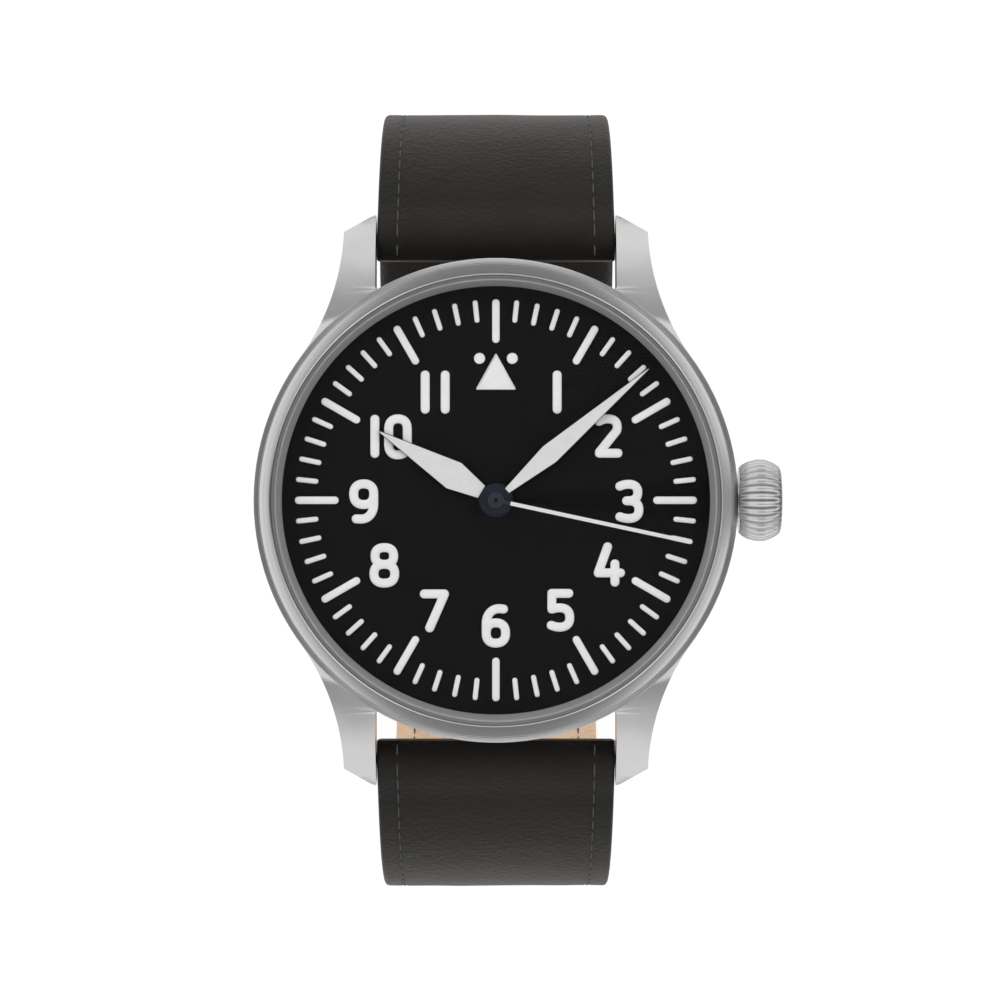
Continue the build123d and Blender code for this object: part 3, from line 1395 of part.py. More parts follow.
def long_layer(low, high, shoulder_turn):
    """Layer of the long half, from the lug to the tail."""
    shoulder_start = HALF_TURN - shoulder_turn
    shoulder_low, shoulder_high = shoulder_bend + low, shoulder_bend + high
    ring_piece((-shoulder_y, wrist_z), shoulder_low, shoulder_high, shoulder_start, shoulder_turn)
    ring_piece(long_side_centre, long_side_bend + low, long_side_bend + high, HALF_TURN, long_side_angle)
    low_start = HALF_TURN + long_side_angle
    low_turn = QUARTER_TURN - long_side_angle
    ring_piece(long_low_centre, long_low_bend + low, long_low_bend + high, low_start, low_turn)
    flat_piece(long_flat_y, short_centre[0], long_seam_z - high, long_seam_z - low)
    ring_piece(short_centre, tail_bend + low, tail_bend + high, -QUARTER_TURN, tail_angle)


def trim_width():
    """Trim to the strap's width, which narrows from the lugs down to the buckle."""
    top_z = bar_z + roll_radius
    low_z = long_seam_z - leather_t
    half_top = strap_width / 2
    half_low = strap_tail_width / 2
    with BuildSketch(Plane.XZ) as width_outline:
        with BuildLine():
            Polyline(
                (half_top, top_z + overrun), (half_top, top_z),
                (half_low, low_z), (half_low, low_z - overrun),
                (-half_low, low_z - overrun), (-half_low, low_z),
                (-half_top, top_z), (-half_top, top_z + overrun),
                close=True,
            )
        make_face()
    extrude(width_outline.sketch, amount=side_y + leather_t + overrun, both=True, mode=Mode.INTERSECT)


def seam_plane(reach):
    """Plane square to the long half's seam, at a reach counted along it from y = 0."""
    past_tail = reach - short_centre[0]
    past_flat = long_flat_y - reach
    if past_tail > 0:
        angle = degrees(past_tail / tail_bend) - QUARTER_TURN
        spot = on_circle(tail_bend, angle, short_centre)
    elif past_flat > 0:
        angle = -QUARTER_TURN - degrees(past_flat / long_low_bend)
        spot = on_circle(long_low_bend, angle, long_low_centre)
    else:
        angle = -QUARTER_TURN
        spot = (reach, long_seam_z)
    return Plane(origin=(0, *spot), x_dir=(1, 0, 0), z_dir=(0, *on_circle(1, angle)))


tongue_slot_place = short_end_y - tongue_slot_y


def punch_holes():
    """Cut the tongue's slot and the row of holes on both sides of it."""
    for step in range(-holes_before, holes_after + 1):
        with BuildSketch(seam_plane(tongue_slot_place + step * hole_spacing)) as hole:
            if step:
                RegularPolygon(hole_radius, hole_sides)
            else:
                SlotOverall(tongue_slot_length, tongue_slot_width, rotation=QUARTER_TURN)
        extrude(hole.sketch, amount=2 * leather_t, both=True, mode=Mode.SUBTRACT)


def point_tail():
    """Cut the tail to its pointed end."""
    half = strap_width / 2
    end = on_circle(tail_bend, tail_angle - QUARTER_TURN, short_centre)
    inwards = on_circle(1, tail_angle + QUARTER_TURN)
    with BuildSketch(Plane(origin=(0, *end), x_dir=(1, 0, 0), z_dir=(0, *inwards))) as tail_tip:
        with BuildLine() as tip_outline:
            right = TangentArc((half, -tail_point), (0, 0), tangent=(0, 1))
            left = TangentArc((-half, -tail_point), (0, 0), tangent=(0, 1))
            Line(left @ 0, right @ 0)
        make_face(tip_outline.edges())
        fillet(tail_tip.vertices().sort_by(Axis.Y)[-1], tail_round)
    with BuildSketch(tail_tip.workplanes[0]) as tail_corners:
        with Locations((0, (overrun - tail_point) / 2)):
            Rectangle(2 * half + 2 * overrun, tail_point + overrun)
        add(tail_tip.sketch_local, mode=Mode.SUBTRACT)
    extrude(tail_corners.sketch, amount=tail_point, both=True, mode=Mode.SUBTRACT)


# Short half: black leather, turned in round the buckle's bar, on a tan lining
buckle_place = (short_end_y, short_seam_z + roll_radius - leather_t)
pin_hole_radius = buckle_pin_radius + pin_clearance
with BuildPart() as short_strap:
    with BuildSketch(Plane.YZ) as short_section:
        short_layer(0, leather_t, -QUARTER_TURN, leave_angle)
        flat_piece(short_end_y, short_centre[0], short_seam_z - leather_t, short_seam_z + lining_t)
        ring_piece(short_centre, short_bend - lining_t, short_bend, -QUARTER_TURN, turned_in_angle)
        with Locations((bar_y, bar_z), buckle_place):
            Circle(roll_radius)
        with Locations((bar_y, bar_z)):
            Circle(bar_radius + bar_clearance, mode=Mode.SUBTRACT)
        with Locations(buckle_place):
            Circle(pin_hole_radius, mode=Mode.SUBTRACT)
    extrude(amount=strap_width, both=True)
    notch_start = short_end_y - roll_radius - overrun
    notch_end = short_end_y + tongue_eye_radius + tongue_notch_clearance
    with BuildSketch(Plane.XY.offset(buckle_place[1] - 2 * roll_radius)) as tongue_notch:
        with Locations((0, (notch_start + notch_end) / 2)):
            Rectangle(tongue_width + 2 * tongue_notch_clearance, notch_end - notch_start)
    extrude(amount=4 * roll_radius, mode=Mode.SUBTRACT)
    trim_width()
short_strap.part.label = "short_strap"
export_step(short_strap.part, "parts/short_strap.step")

with BuildPart() as short_lining:
    with BuildSketch(Plane.YZ) as short_lining_section:
        short_layer(-lining_t, 0, turned_in_angle - QUARTER_TURN, lining_start_angle)
    extrude(amount=strap_width, both=True)
    trim_width()
short_lining.part.label = "short_lining"
export_step(short_lining.part, "parts/short_lining.step")

# Long half with its holes and pointed tail
with BuildPart() as long_strap:
    with BuildSketch(Plane.YZ) as long_section:
        long_layer(0, leather_t, leave_angle)
        with Locations((-bar_y, bar_z)):
            Circle(roll_radius)
            Circle(bar_radius + bar_clearance, mode=Mode.SUBTRACT)
    extrude(amount=strap_width, both=True)
    trim_width()
    punch_holes()
    point_tail()
long_strap.part.label = "long_strap"
export_step(long_strap.part, "parts/long_strap.step")

with BuildPart() as long_lining:
    with BuildSketch(Plane.YZ) as long_lining_section:
        long_layer(-lining_t, 0, lining_start_angle)
    extrude(amount=strap_width, both=True)
    trim_width()
    punch_holes()
    point_tail()
long_lining.part.label = "long_lining"
export_step(long_lining.part, "parts/long_lining.step")

# Keepers: leather loops round both layers, one fixed by the buckle and one that slides
keeper_low_radius = short_bend - lining_t - keeper_clearance - keeper_inner_t
keeper_high_radius = tail_bend + leather_t + keeper_clearance + keeper_t
keeper_half = strap_tail_width / 2 + keeper_clearance
stand_z = wrist_z - keeper_high_radius


def keeper_section():
    """Section of a loop: x across the strap, y outwards from the wrist's centre."""
    window_low = keeper_low_radius + keeper_inner_t
    window_high = keeper_high_radius - keeper_t
    with Locations((0, (keeper_low_radius + keeper_high_radius) / 2)):
        RectangleRounded(2 * (keeper_half + keeper_t), keeper_high_radius - keeper_low_radius, keeper_round)
    with Locations((0, (window_low + window_high) / 2)):
        Rectangle(2 * keeper_half, window_high - window_low, mode=Mode.SUBTRACT)


with BuildPart() as fixed_keeper:
    keeper_start = (0, fixed_keeper_y - keeper_width / 2, wrist_z)
    with BuildSketch(Plane(origin=keeper_start, x_dir=(1, 0, 0), z_dir=(0, 1, 0))) as fixed_section:
        keeper_section()
    extrude(amount=keeper_width)
fixed_keeper.part.label = "fixed_keeper"
export_step(fixed_keeper.part, "parts/fixed_keeper.step")

with BuildPart() as sliding_keeper:
    keeper_turn = degrees(keeper_width / tail_bend)
    start_direction = on_circle(1, sliding_keeper_angle - keeper_turn / 2)
    wrist_centre = (0, *short_centre)
    sliding_plane = Plane(origin=wrist_centre, x_dir=(1, 0, 0), z_dir=(0, *start_direction))
    with BuildSketch(sliding_plane) as sliding_section:
        keeper_section()
    revolve(axis=Axis(wrist_centre, (1, 0, 0)), revolution_arc=keeper_turn)
sliding_keeper.part.label = "sliding_keeper"
export_step(sliding_keeper.part, "parts/sliding_keeper.step")

# Buckle frame: two arms from the pin's ears to the front bar
front_bar_place = (short_end_y - buckle_reach, stand_z + buckle_bar_radius)
arm_start_x = strap_tail_width / 2 + buckle_side_clearance
tongue_z = stand_z + tongue_lift + tongue_t / 2
with BuildPart() as buckle_frame:
    with BuildSketch(Plane.YZ.offset(arm_start_x)) as arm_face:
        with Locations(buckle_place):
            Circle(buckle_ear_radius)
        with Locations(front_bar_place):
            Circle(buckle_bar_radius)
        make_hull()
    extrude(amount=buckle_arm_t)
    mirror(about=Plane.YZ)
    with BuildSketch(Plane.YZ) as front_bar_face:
        with Locations(front_bar_place):
            Circle(buckle_bar_radius)
    extrude(amount=arm_start_x + buckle_arm_t / 2, both=True)
    with BuildSketch(Plane.YZ) as ear_hole_face:
        with Locations(buckle_place):
            Circle(buckle_pin_tip_radius + pin_clearance)
    extrude(amount=arm_start_x + buckle_pin_tip + pin_clearance, both=True, mode=Mode.SUBTRACT)
    groove_top_z = tongue_z + tongue_t / 2 + pin_clearance
    with BuildSketch(Plane.XY.offset(groove_top_z)) as tongue_groove:
        with Locations((0, front_bar_place[0])):
            Rectangle(tongue_width + 2 * tongue_groove_clearance, 2 * buckle_bar_radius + overrun)
    extrude(amount=-(2 * buckle_bar_radius), mode=Mode.SUBTRACT)
buckle_frame.part.label = "buckle_frame"
export_step(buckle_frame.part, "parts/buckle_frame.step")

# Buckle tongue: eye round the pin, bent blade that lies on the front bar
tongue_bend = (short_end_y - tongue_bend_y, tongue_z)
tongue_end = (front_bar_place[0] - buckle_bar_radius - tongue_overhang, tongue_z)
with BuildPart() as buckle_tongue:
    with BuildSketch(Plane.YZ) as tongue_face:
        with BuildLine() as tongue_line:
            Polyline(buckle_place, tongue_bend, tongue_end)
        trace(tongue_line.edges(), tongue_t)
        with Locations(tongue_bend, tongue_end):
            Circle(tongue_t / 2)
        with Locations(buckle_place):
            Circle(tongue_eye_radius)
            Circle(pin_hole_radius, mode=Mode.SUBTRACT)
    extrude(amount=tongue_width / 2, both=True)
buckle_tongue.part.label = "buckle_tongue"
export_step(buckle_tongue.part, "parts/buckle_tongue.step")

# Spring bar of the buckle
with BuildPart() as buckle_pin:
    with BuildSketch(Plane.YZ) as pin_body:
        with Locations(buckle_place):
            Circle(buckle_pin_radius)
    extrude(amount=arm_start_x - pin_clearance, both=True)
    with BuildSketch(Plane.YZ) as pin_tips:
        with Locations(buckle_place):
            Circle(buckle_pin_tip_radius)
    extrude(amount=arm_start_x + buckle_pin_tip, both=True)
buckle_pin.part.label = "buckle_pin"
export_step(buckle_pin.part, "parts/buckle_pin.step")
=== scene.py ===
from math import cos, pi, radians, sin, sqrt, tau

import bmesh
import bpy
import numpy as np
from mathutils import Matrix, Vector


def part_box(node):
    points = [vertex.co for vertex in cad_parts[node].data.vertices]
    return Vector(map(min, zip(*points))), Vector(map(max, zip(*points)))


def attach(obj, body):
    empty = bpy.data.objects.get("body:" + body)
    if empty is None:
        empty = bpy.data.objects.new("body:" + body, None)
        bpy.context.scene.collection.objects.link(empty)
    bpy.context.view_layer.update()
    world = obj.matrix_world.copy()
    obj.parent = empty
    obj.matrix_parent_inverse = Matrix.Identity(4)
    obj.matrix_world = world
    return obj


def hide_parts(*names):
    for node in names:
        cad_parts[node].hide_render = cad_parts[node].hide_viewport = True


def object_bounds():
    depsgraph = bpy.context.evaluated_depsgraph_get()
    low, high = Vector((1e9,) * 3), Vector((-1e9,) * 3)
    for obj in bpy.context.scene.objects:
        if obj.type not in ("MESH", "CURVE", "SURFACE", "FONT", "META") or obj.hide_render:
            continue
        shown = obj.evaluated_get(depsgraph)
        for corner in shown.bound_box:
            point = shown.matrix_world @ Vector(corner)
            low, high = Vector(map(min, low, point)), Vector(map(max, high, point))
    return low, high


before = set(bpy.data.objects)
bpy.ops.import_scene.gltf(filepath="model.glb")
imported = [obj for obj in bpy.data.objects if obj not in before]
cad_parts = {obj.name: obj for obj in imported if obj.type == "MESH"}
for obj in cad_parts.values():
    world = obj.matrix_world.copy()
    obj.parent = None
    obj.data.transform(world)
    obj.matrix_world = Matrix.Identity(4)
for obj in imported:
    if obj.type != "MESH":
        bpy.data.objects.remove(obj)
cad_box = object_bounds()
mm = 0.001


# Camera: looks straight down on the dial, upright at 12, from the distance that the
# slight perspective of the photograph gives. The dial's centre lies just off the middle.
camera_height = 350 * mm
photo_side = 1000
photo_scale = 12.115
photo_centre = (495.9, 500.3)
dial_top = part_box("dial")[1].z


def shown(name, data):
    """Object in the scene that shows some data."""
    made = bpy.data.objects.new(name, data)
    bpy.context.scene.collection.objects.link(made)
    return made


lens = bpy.data.cameras.new("camera")
lens.lens = lens.sensor_width * camera_height / (photo_side / photo_scale * mm)
camera = shown("camera", lens)
camera.location = (
    (photo_side / 2 - photo_centre[0]) / photo_scale * mm,
    (photo_centre[1] - photo_side / 2) / photo_scale * mm,
    dial_top + camera_height,
)
bpy.context.scene.camera = camera
bpy.context.scene.view_settings.view_transform = "Standard"


# Floor and lamps: a white table under the closed strap, three soft boxes round the
# watch, and a room that is white at its sides and grey overhead, as a studio is. A
# narrow black card stands beyond the crown, as one does when polished steel is shot.
white = (1, 1, 1, 1)
floor_half = 2.0
floor_glow = 0.86
floor_pale = (0.22, 0.22, 0.22, 1)
floor_bounce = (0.75, 0.75, 0.75, 1)
floor_fade = (0.03, 0.12)
floor_fade_shape = (1.0, 0.3, 0.0)
floor_far = 0.06
room_fill = 0.72
wall_white = 1.2
overhead_grey = 0.28
overhead_rise = (0.55, 0.95)
box_white = 1.45
box_spread = (0.17, 0.30)
flag_grey = 0.08
flag_spread = (0.6, 0.86)
card_black = 0.0
card_spread = (radians(4), radians(9))
soft_box_side = 0.5
soft_boxes = {
    "box_left": ((-0.55, 0.10, 0.42), 1.1),
    "box_right": ((0.55, 0.10, 0.42), 0.9),
    "box_twelve": ((0.0, 0.55, 0.55), 1.1),
}


def wire(tree, kind, inputs=None, **settings):
    """Add a node, set its options, and set or link its inputs."""
    made = tree.nodes.new(kind)
    for option, value in settings.items():
        setattr(made, option, value)
    for socket, value in (inputs or {}).items():
        if isinstance(value, bpy.types.NodeSocket):
            tree.links.new(value, made.inputs[socket])
        else:
            made.inputs[socket].default_value = value
    return made


def reckoned(tree, operation, *values):
    """Result of a sum on one to three values."""
    return wire(tree, "ShaderNodeMath", dict(enumerate(values)), operation=operation).outputs[0]


def ranged(tree, value, before=(0.0, 1.0), after=(0.0, 1.0), soft=False):
    """A value carried from one range to another."""
    return wire(tree, "ShaderNodeMapRange", {
        "Value": value, "From Min": before[0], "From Max": before[1], "To Min": after[0], "To Max": after[1],
    }, interpolation_type="SMOOTHSTEP" if soft else "LINEAR").outputs[0]


def mixed(tree, factor, first, second, kind="RGBA"):
    """Mixture of two colours, or of two numbers."""
    return wire(tree, "ShaderNodeMix", {
        "Factor": factor, "A": first, "B": second}, data_type=kind).outputs["Result"]


def object_place(tree):
    """Where a point lies on the watch."""
    return wire(tree, "ShaderNodeTexCoord").outputs["Object"]


def axes_of(tree, place):
    """The three numbers of a place."""
    return wire(tree, "ShaderNodeSeparateXYZ", {0: place}).outputs


def reach_of(tree, place, shape=(1, 1, 0)):
    """How far a place lies from the middle, once each axis is scaled."""
    scaled = wire(tree, "ShaderNodeVectorMath", {0: place, 1: shape}, operation="MULTIPLY").outputs[0]
    return wire(tree, "ShaderNodeVectorMath", {0: scaled}, operation="LENGTH").outputs["Value"]


def seen_rays(tree):
    """1 for rays from the camera and through glass, and 1 for mirrored rays."""
    path = wire(tree, "ShaderNodeLightPath").outputs
    sent = reckoned(tree, "MAXIMUM", path["Is Camera Ray"], path["Is Transmission Ray"])
    return sent, path["Is Glossy Ray"]


def floor_finish():
    """White card that still takes a faint shadow where it is seen."""
    card = bpy.data.materials.new("floor_card")
    card.use_nodes = True
    tree = card.node_tree
    tree.nodes.clear()
    sent, mirrored = seen_rays(tree)
    seen = reckoned(tree, "MAXIMUM", sent, mirrored)
    apart = reach_of(tree, object_place(tree), floor_fade_shape)
    fade = ranged(tree, apart, floor_fade, (1.0, floor_far), soft=True)
    level = reckoned(tree, "MULTIPLY", reckoned(tree, "MAXIMUM", sent, fade), floor_glow)
    glow = wire(tree, "ShaderNodeEmission", {"Color": white, "Strength": level})
    thin = wire(tree, "ShaderNodeBsdfDiffuse", {"Color": floor_pale})
    bright = wire(tree, "ShaderNodeAddShader", {0: glow.outputs[0], 1: thin.outputs[0]})
    plain = wire(tree, "ShaderNodeBsdfDiffuse", {"Color": floor_bounce})
    both = wire(tree, "ShaderNodeMixShader", {0: seen, 1: plain.outputs[0], 2: bright.outputs[0]})
    wire(tree, "ShaderNodeOutputMaterial", {"Surface": both.outputs[0]})
    return card


floor_mesh = bpy.data.meshes.new("floor")
floor_mesh.from_pydata(
    [(across * floor_half, along * floor_half, cad_box[0].z)
     for across, along in ((-1, -1), (1, -1), (1, 1), (-1, 1))], [], [(0, 1, 2, 3)])
floor_mesh.materials.append(floor_finish())
floor = shown("floor", floor_mesh)

world = bpy.data.worlds.new("studio")
world.use_nodes = True
bpy.context.scene.world = world
room = world.node_tree
room.nodes.clear()
room_sent, room_mirrored = seen_rays(room)
room_way = axes_of(room, wire(room, "ShaderNodeTexCoord").outputs["Generated"])
room_aside = reckoned(room, "ABSOLUTE", room_way["X"])
room_turn = reckoned(room, "ABSOLUTE", reckoned(room, "ARCTAN2", room_way["Y"], room_way["X"]))
room_ceiling = ranged(room, room_way["Z"], overhead_rise, (wall_white, overhead_grey), soft=True)
room_boxes = ranged(room, room_aside, box_spread, (0.0, box_white), soft=True)
room_flags = ranged(room, room_aside, flag_spread, (1.0, flag_grey), soft=True)
room_card = ranged(room, room_turn, card_spread, (card_black, 1.0), soft=True)
room_bright = reckoned(room, "MAXIMUM", room_ceiling, room_boxes)
room_dark = reckoned(room, "MULTIPLY", room_card, room_flags)
room_mirror = reckoned(room, "MULTIPLY", room_bright, room_dark)
room_plain = mixed(room, room_sent, room_fill, 1.0, "FLOAT")
room_light = mixed(room, room_mirrored, room_plain, room_mirror, "FLOAT")
room_sky = wire(room, "ShaderNodeBackground", {"Color": white, "Strength": room_light})
wire(room, "ShaderNodeOutputWorld", {"Surface": room_sky.outputs[0]})

for name, (place, watts) in soft_boxes.items():
    lamp = bpy.data.lights.new(name, "AREA")
    lamp.size = soft_box_side
    lamp.energy = watts
    holder = shown(name, lamp)
    holder.visible_glossy = False
    holder.location = place
    holder.rotation_euler = holder.location.to_track_quat("Z", "Y").to_euler()


# Case middle: one piece of steel with its four lugs, milled and then finely blasted to
# an even satin. It carries every other piece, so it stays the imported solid.
steel_colour = (0.56, 0.56, 0.565, 1)
grain_size = 18000.0
grain_relief = 0.12
grain_depth = 0.01
edge_round = 0.09
join_distance = 0.0005
flat_angle = radians(0.1)
edge_angle = radians(28)
shade_angle = radians(32)
skin_outputs = (("Colour", "Color"), ("Roughness", "Float"), ("Height", "Float"))


def new_group(name, kind, inputs, outputs):
    """Empty node group with named sockets, and its two end nodes."""
    group = bpy.data.node_groups.new(name, kind)
    for label, socket_kind, *values in inputs:
        socket = group.interface.new_socket(label, in_out="INPUT", socket_type="NodeSocket" + socket_kind)
        for value in values:
            socket.default_value = value
    for label, socket_kind in outputs:
        group.interface.new_socket(label, in_out="OUTPUT", socket_type="NodeSocket" + socket_kind)
    return group, group.nodes.new("NodeGroupInput").outputs, group.nodes.new("NodeGroupOutput")


def feed(node, values):
    """Link results to the named inputs of a node."""
    for socket, value in values.items():
        node.id_data.links.new(value, node.inputs[socket])


def noise(tree, place, size, detail=2.0, rough=0.5):
    """Even noise at a place, with its size given as waves in a metre."""
    return wire(tree, "ShaderNodeTexNoise", {
        "Vector": place, "Scale": size, "Detail": detail, "Roughness": rough}).outputs[0]


def bumped(tree, height, strength, depth):
    """Normal of a skin with a relief of some depth in millimetres."""
    return wire(tree, "ShaderNodeBump", {
        "Height": height, "Strength": strength, "Distance": depth * mm}).outputs[0]


def scaled_colour(tree, colour, share):
    """Colour made darker or paler."""
    return wire(tree, "ShaderNodeVectorMath", {0: colour, "Scale": share}, operation="SCALE").outputs[0]


def metal_grain_group():
    """Fine blasted grain with a faint cloud of tone: colour, roughness and height."""
    group, given, end = new_group("metal_grain", "ShaderNodeTree", (
        ("Colour", "Color", (0.5, 0.5, 0.5, 1)), ("Roughness", "Float", 0.3), ("Grain", "Float", grain_size),
        ("Spread", "Float", 0.06)), skin_outputs)
    place = object_place(group)
    fine = noise(group, place, given["Grain"], 2.0, 0.6)
    cloud = noise(group, place, 260.0, 3.0)
    tone = ranged(group, cloud, (0.3, 0.7), (0.93, 1.05))
    speck = ranged(group, fine, (0.3, 0.7), (0.96, 1.03))
    swing = reckoned(group, "SUBTRACT", cloud, 0.5)
    feed(end, {
        "Colour": scaled_colour(group, given["Colour"], reckoned(group, "MULTIPLY", tone, speck)),
        "Roughness": reckoned(group, "MULTIPLY_ADD", swing, given["Spread"], given["Roughness"]),
        "Height": fine})
    return group


metal_grain = metal_grain_group()


def new_finish(name, constants):
    """Material with one Principled shader whose constant numbers sit on its own sockets."""
    finish = bpy.data.materials.new(name)
    finish.use_nodes = True
    shader = finish.node_tree.nodes["Principled BSDF"]
    for socket, value in constants.items():
        shader.inputs[socket].default_value = value
    return finish, finish.node_tree, shader


def grained(name, constants, group, values, relief, depth):
    """Finish that takes its colour, roughness and relief from a shared group."""
    finish, tree, shader = new_finish(name, constants)
    grain = wire(tree, "ShaderNodeGroup", values, node_tree=group).outputs
    feed(shader, {"Base Color": grain["Colour"], "Roughness": grain["Roughness"],
                  "Normal": bumped(tree, grain["Height"], relief, depth)})
    return finish


def blasted_metal(name, colour, roughness):
    """Satin metal with the shared grain."""
    return grained(name, {"Metallic": 1.0}, metal_grain, {"Colour": colour, "Roughness": roughness},
                   grain_relief, grain_depth)


def shade_tree():
    """Geometry tree that shades smooth and keeps edges over an angle sharp."""
    tree, given, end = new_group("shade_by_angle", "GeometryNodeTree", (
        ("Geometry", "Geometry"), ("Angle", "Float", shade_angle)), (("Geometry", "Geometry"),))
    turn = wire(tree, "GeometryNodeInputMeshEdgeAngle").outputs[0]
    sharp = wire(tree, "FunctionNodeCompare", {0: turn, 1: given["Angle"]}, data_type="FLOAT",
                 operation="GREATER_THAN").outputs[0]
    smooth = wire(tree, "GeometryNodeSetShadeSmooth", {"Geometry": given["Geometry"], "Shade Smooth": True},
                  domain="FACE").outputs[0]
    edged = wire(tree, "GeometryNodeSetShadeSmooth", {
        "Geometry": smooth, "Selection": sharp, "Shade Smooth": False}, domain="EDGE").outputs[0]
    feed(end, {0: edged})
    return tree


shade_by_angle = shade_tree()


def finish_node(name, material, ease=edge_round):
    """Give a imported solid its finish, and edges rounded by ease in millimetres where it isn't zero."""
    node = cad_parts[name]
    node.data.materials.clear()
    node.data.materials.append(material)
    weld = node.modifiers.new("join", "WELD")
    weld.merge_threshold = join_distance * mm
    flat = node.modifiers.new("flats", "DECIMATE")
    flat.decimate_type = "DISSOLVE"
    flat.angle_limit = flat_angle
    if ease:
        edges = node.modifiers.new("edges", "BEVEL")
        edges.width = ease * mm
        edges.segments = 2
        edges.limit_method = "ANGLE"
        edges.angle_limit = edge_angle
        edges.use_clamp_overlap = True
    node.modifiers.new("shade", "NODES").node_group = shade_by_angle
    node.modifiers.new("even", "WEIGHTED_NORMAL").keep_sharp = True


finish_node("case_middle", blasted_metal("case_steel", steel_colour, 0.31))


# Bezel: a steel ring turned on a lathe and brushed round and round, pressed over the
# seal. Its gentle top slope and eased edges catch the light at 3 and 9.
bezel_colour = (0.50, 0.50, 0.505)
bezel_roughness = 0.24
bezel_lines = 24000.0
bezel_outline = ((18.50, 7.60), (19.44, 7.60), (19.44, 9.04), (18.63, 9.15), (18.50, 9.085))
ring_steps = 288
merge_distance = 0.0002
corner_share = 0.45


def eased(outline, size, steps=4):
    """Closed outline with each corner replaced by a small arc."""
    rounded = []
    count = len(outline)
    for place in range(count):
        before, corner, after = (np.array(outline[(place + shift) % count], float) for shift in (-1, 0, 1))
        first = before - corner
        second = after - corner
        reach = min(size, corner_share * np.linalg.norm(first), corner_share * np.linalg.norm(second))
        start = corner + first / np.linalg.norm(first) * reach
        end = corner + second / np.linalg.norm(second) * reach
        for step in range(steps + 1):
            share = step / steps
            rest = 1 - share
            rounded.append(tuple(rest ** 2 * start + 2 * share * rest * corner + share ** 2 * end))
    return rounded


def new_piece(name, points, faces, material, sharp=shade_angle):
    """Mesh object in metres from points in millimetres, merged, facing outwards and shaded."""
    mesh = bpy.data.meshes.new(name)
    mesh.from_pydata([tuple(float(value) * mm for value in point) for point in points], [], faces)
    work = bmesh.new()
    work.from_mesh(mesh)
    bmesh.ops.remove_doubles(work, verts=work.verts, dist=merge_distance * mm)
    bmesh.ops.recalc_face_normals(work, faces=work.faces)
    work.to_mesh(mesh)
    work.free()
    mesh.shade_smooth()
    mesh.set_sharp_from_angle(angle=sharp)
    mesh.materials.append(material)
    return shown(name, mesh)


def ring_faces(rings, sides, close_rings=True):
    """Quads between rings of equal length, round each ring and from each ring to the next."""
    faces = []
    for ring in range(rings if close_rings else rings - 1):
        here = ring * sides
        ahead = (ring + 1) % rings * sides
        for side in range(sides):
            beside = (side + 1) % sides
            faces.append((here + side, here + beside, ahead + beside, ahead + side))
    return faces


def turned_piece(name, outline, material):
    """Ring turned round the dial axis from a closed outline of (radius, height) in millimetres."""
    points = []
    for step in range(ring_steps):
        angle = tau * step / ring_steps
        points.extend((radius * cos(angle), radius * sin(angle), height) for radius, height in outline)
    return new_piece(name, points, ring_faces(ring_steps, len(outline)), material)


def lathe_turned(finish, axis, amount):
    """Stretch a metal's shine across the fine lines that turning leaves round an axis."""
    shader = finish.node_tree.nodes["Principled BSDF"]
    shader.inputs["Anisotropic"].default_value = amount
    shader.inputs["Anisotropic Rotation"].default_value = 0.25
    round_axis = wire(finish.node_tree, "ShaderNodeTangent", direction_type="RADIAL", axis=axis)
    feed(shader, {"Tangent": round_axis.outputs[0]})


def brushed_steel():
    """Steel with fine lines that run round the dial axis."""
    finish, tree, shader = new_finish("bezel_steel", {"Metallic": 1.0})
    axes = axes_of(tree, object_place(tree))
    flat = wire(tree, "ShaderNodeCombineXYZ", {0: axes[0], 1: axes[1]}).outputs[0]
    reach = wire(tree, "ShaderNodeVectorMath", {0: flat}, operation="LENGTH").outputs["Value"]
    spot = wire(tree, "ShaderNodeCombineXYZ", {0: reach, 2: axes[2]}).outputs[0]
    streak = noise(tree, spot, bezel_lines, 3.0)
    feed(shader, {
        "Base Color": scaled_colour(tree, bezel_colour, ranged(tree, streak, (0.3, 0.7), (0.9, 1.05))),
        "Roughness": ranged(tree, streak, (0.3, 0.7), (bezel_roughness + 0.04, bezel_roughness - 0.03)),
        "Normal": bumped(tree, streak, 0.25, grain_depth)})
    lathe_turned(finish, "Z", 0.6)
    return finish


bezel = turned_piece("bezel_ring", eased(bezel_outline, 0.03), brushed_steel())
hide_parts("bezel")
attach(bezel, "root")


# Crystal seal: a moulded rubber ring, L-shaped in section, squeezed between the bezel
# and the crystal. It shows as a thin dark grey band.
seal_outline = ((18.15, 7.60), (18.49, 7.60), (18.49, 8.96), (18.30, 8.96), (18.30, 8.80), (18.15, 8.80))
seal_rubber, seal_tree, seal_shader = new_finish("seal_rubber", {
    "Base Color": (0.165, 0.165, 0.167, 1), "Specular IOR Level": 0.3})
seal_skin = noise(seal_tree, object_place(seal_tree), 6000.0)
feed(seal_shader, {"Roughness": ranged(seal_tree, seal_skin, after=(0.42, 0.58))})
crystal_seal = turned_piece("seal_ring", eased(seal_outline, 0.04), seal_rubber)
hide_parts("crystal_seal")
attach(crystal_seal, "root")


# Crystal: domed synthetic sapphire, clear, coated against reflections on both faces,
# flat below and chamfered at its edge, held by the seal.
crystal_low = 8.80
crystal_edge = 9.15
crystal_rim = 18.29
crystal_ease = 0.05
crystal_chamfer = 0.12
crystal_rise = 0.38
coated_bend = 1.14
dome_steps = 24


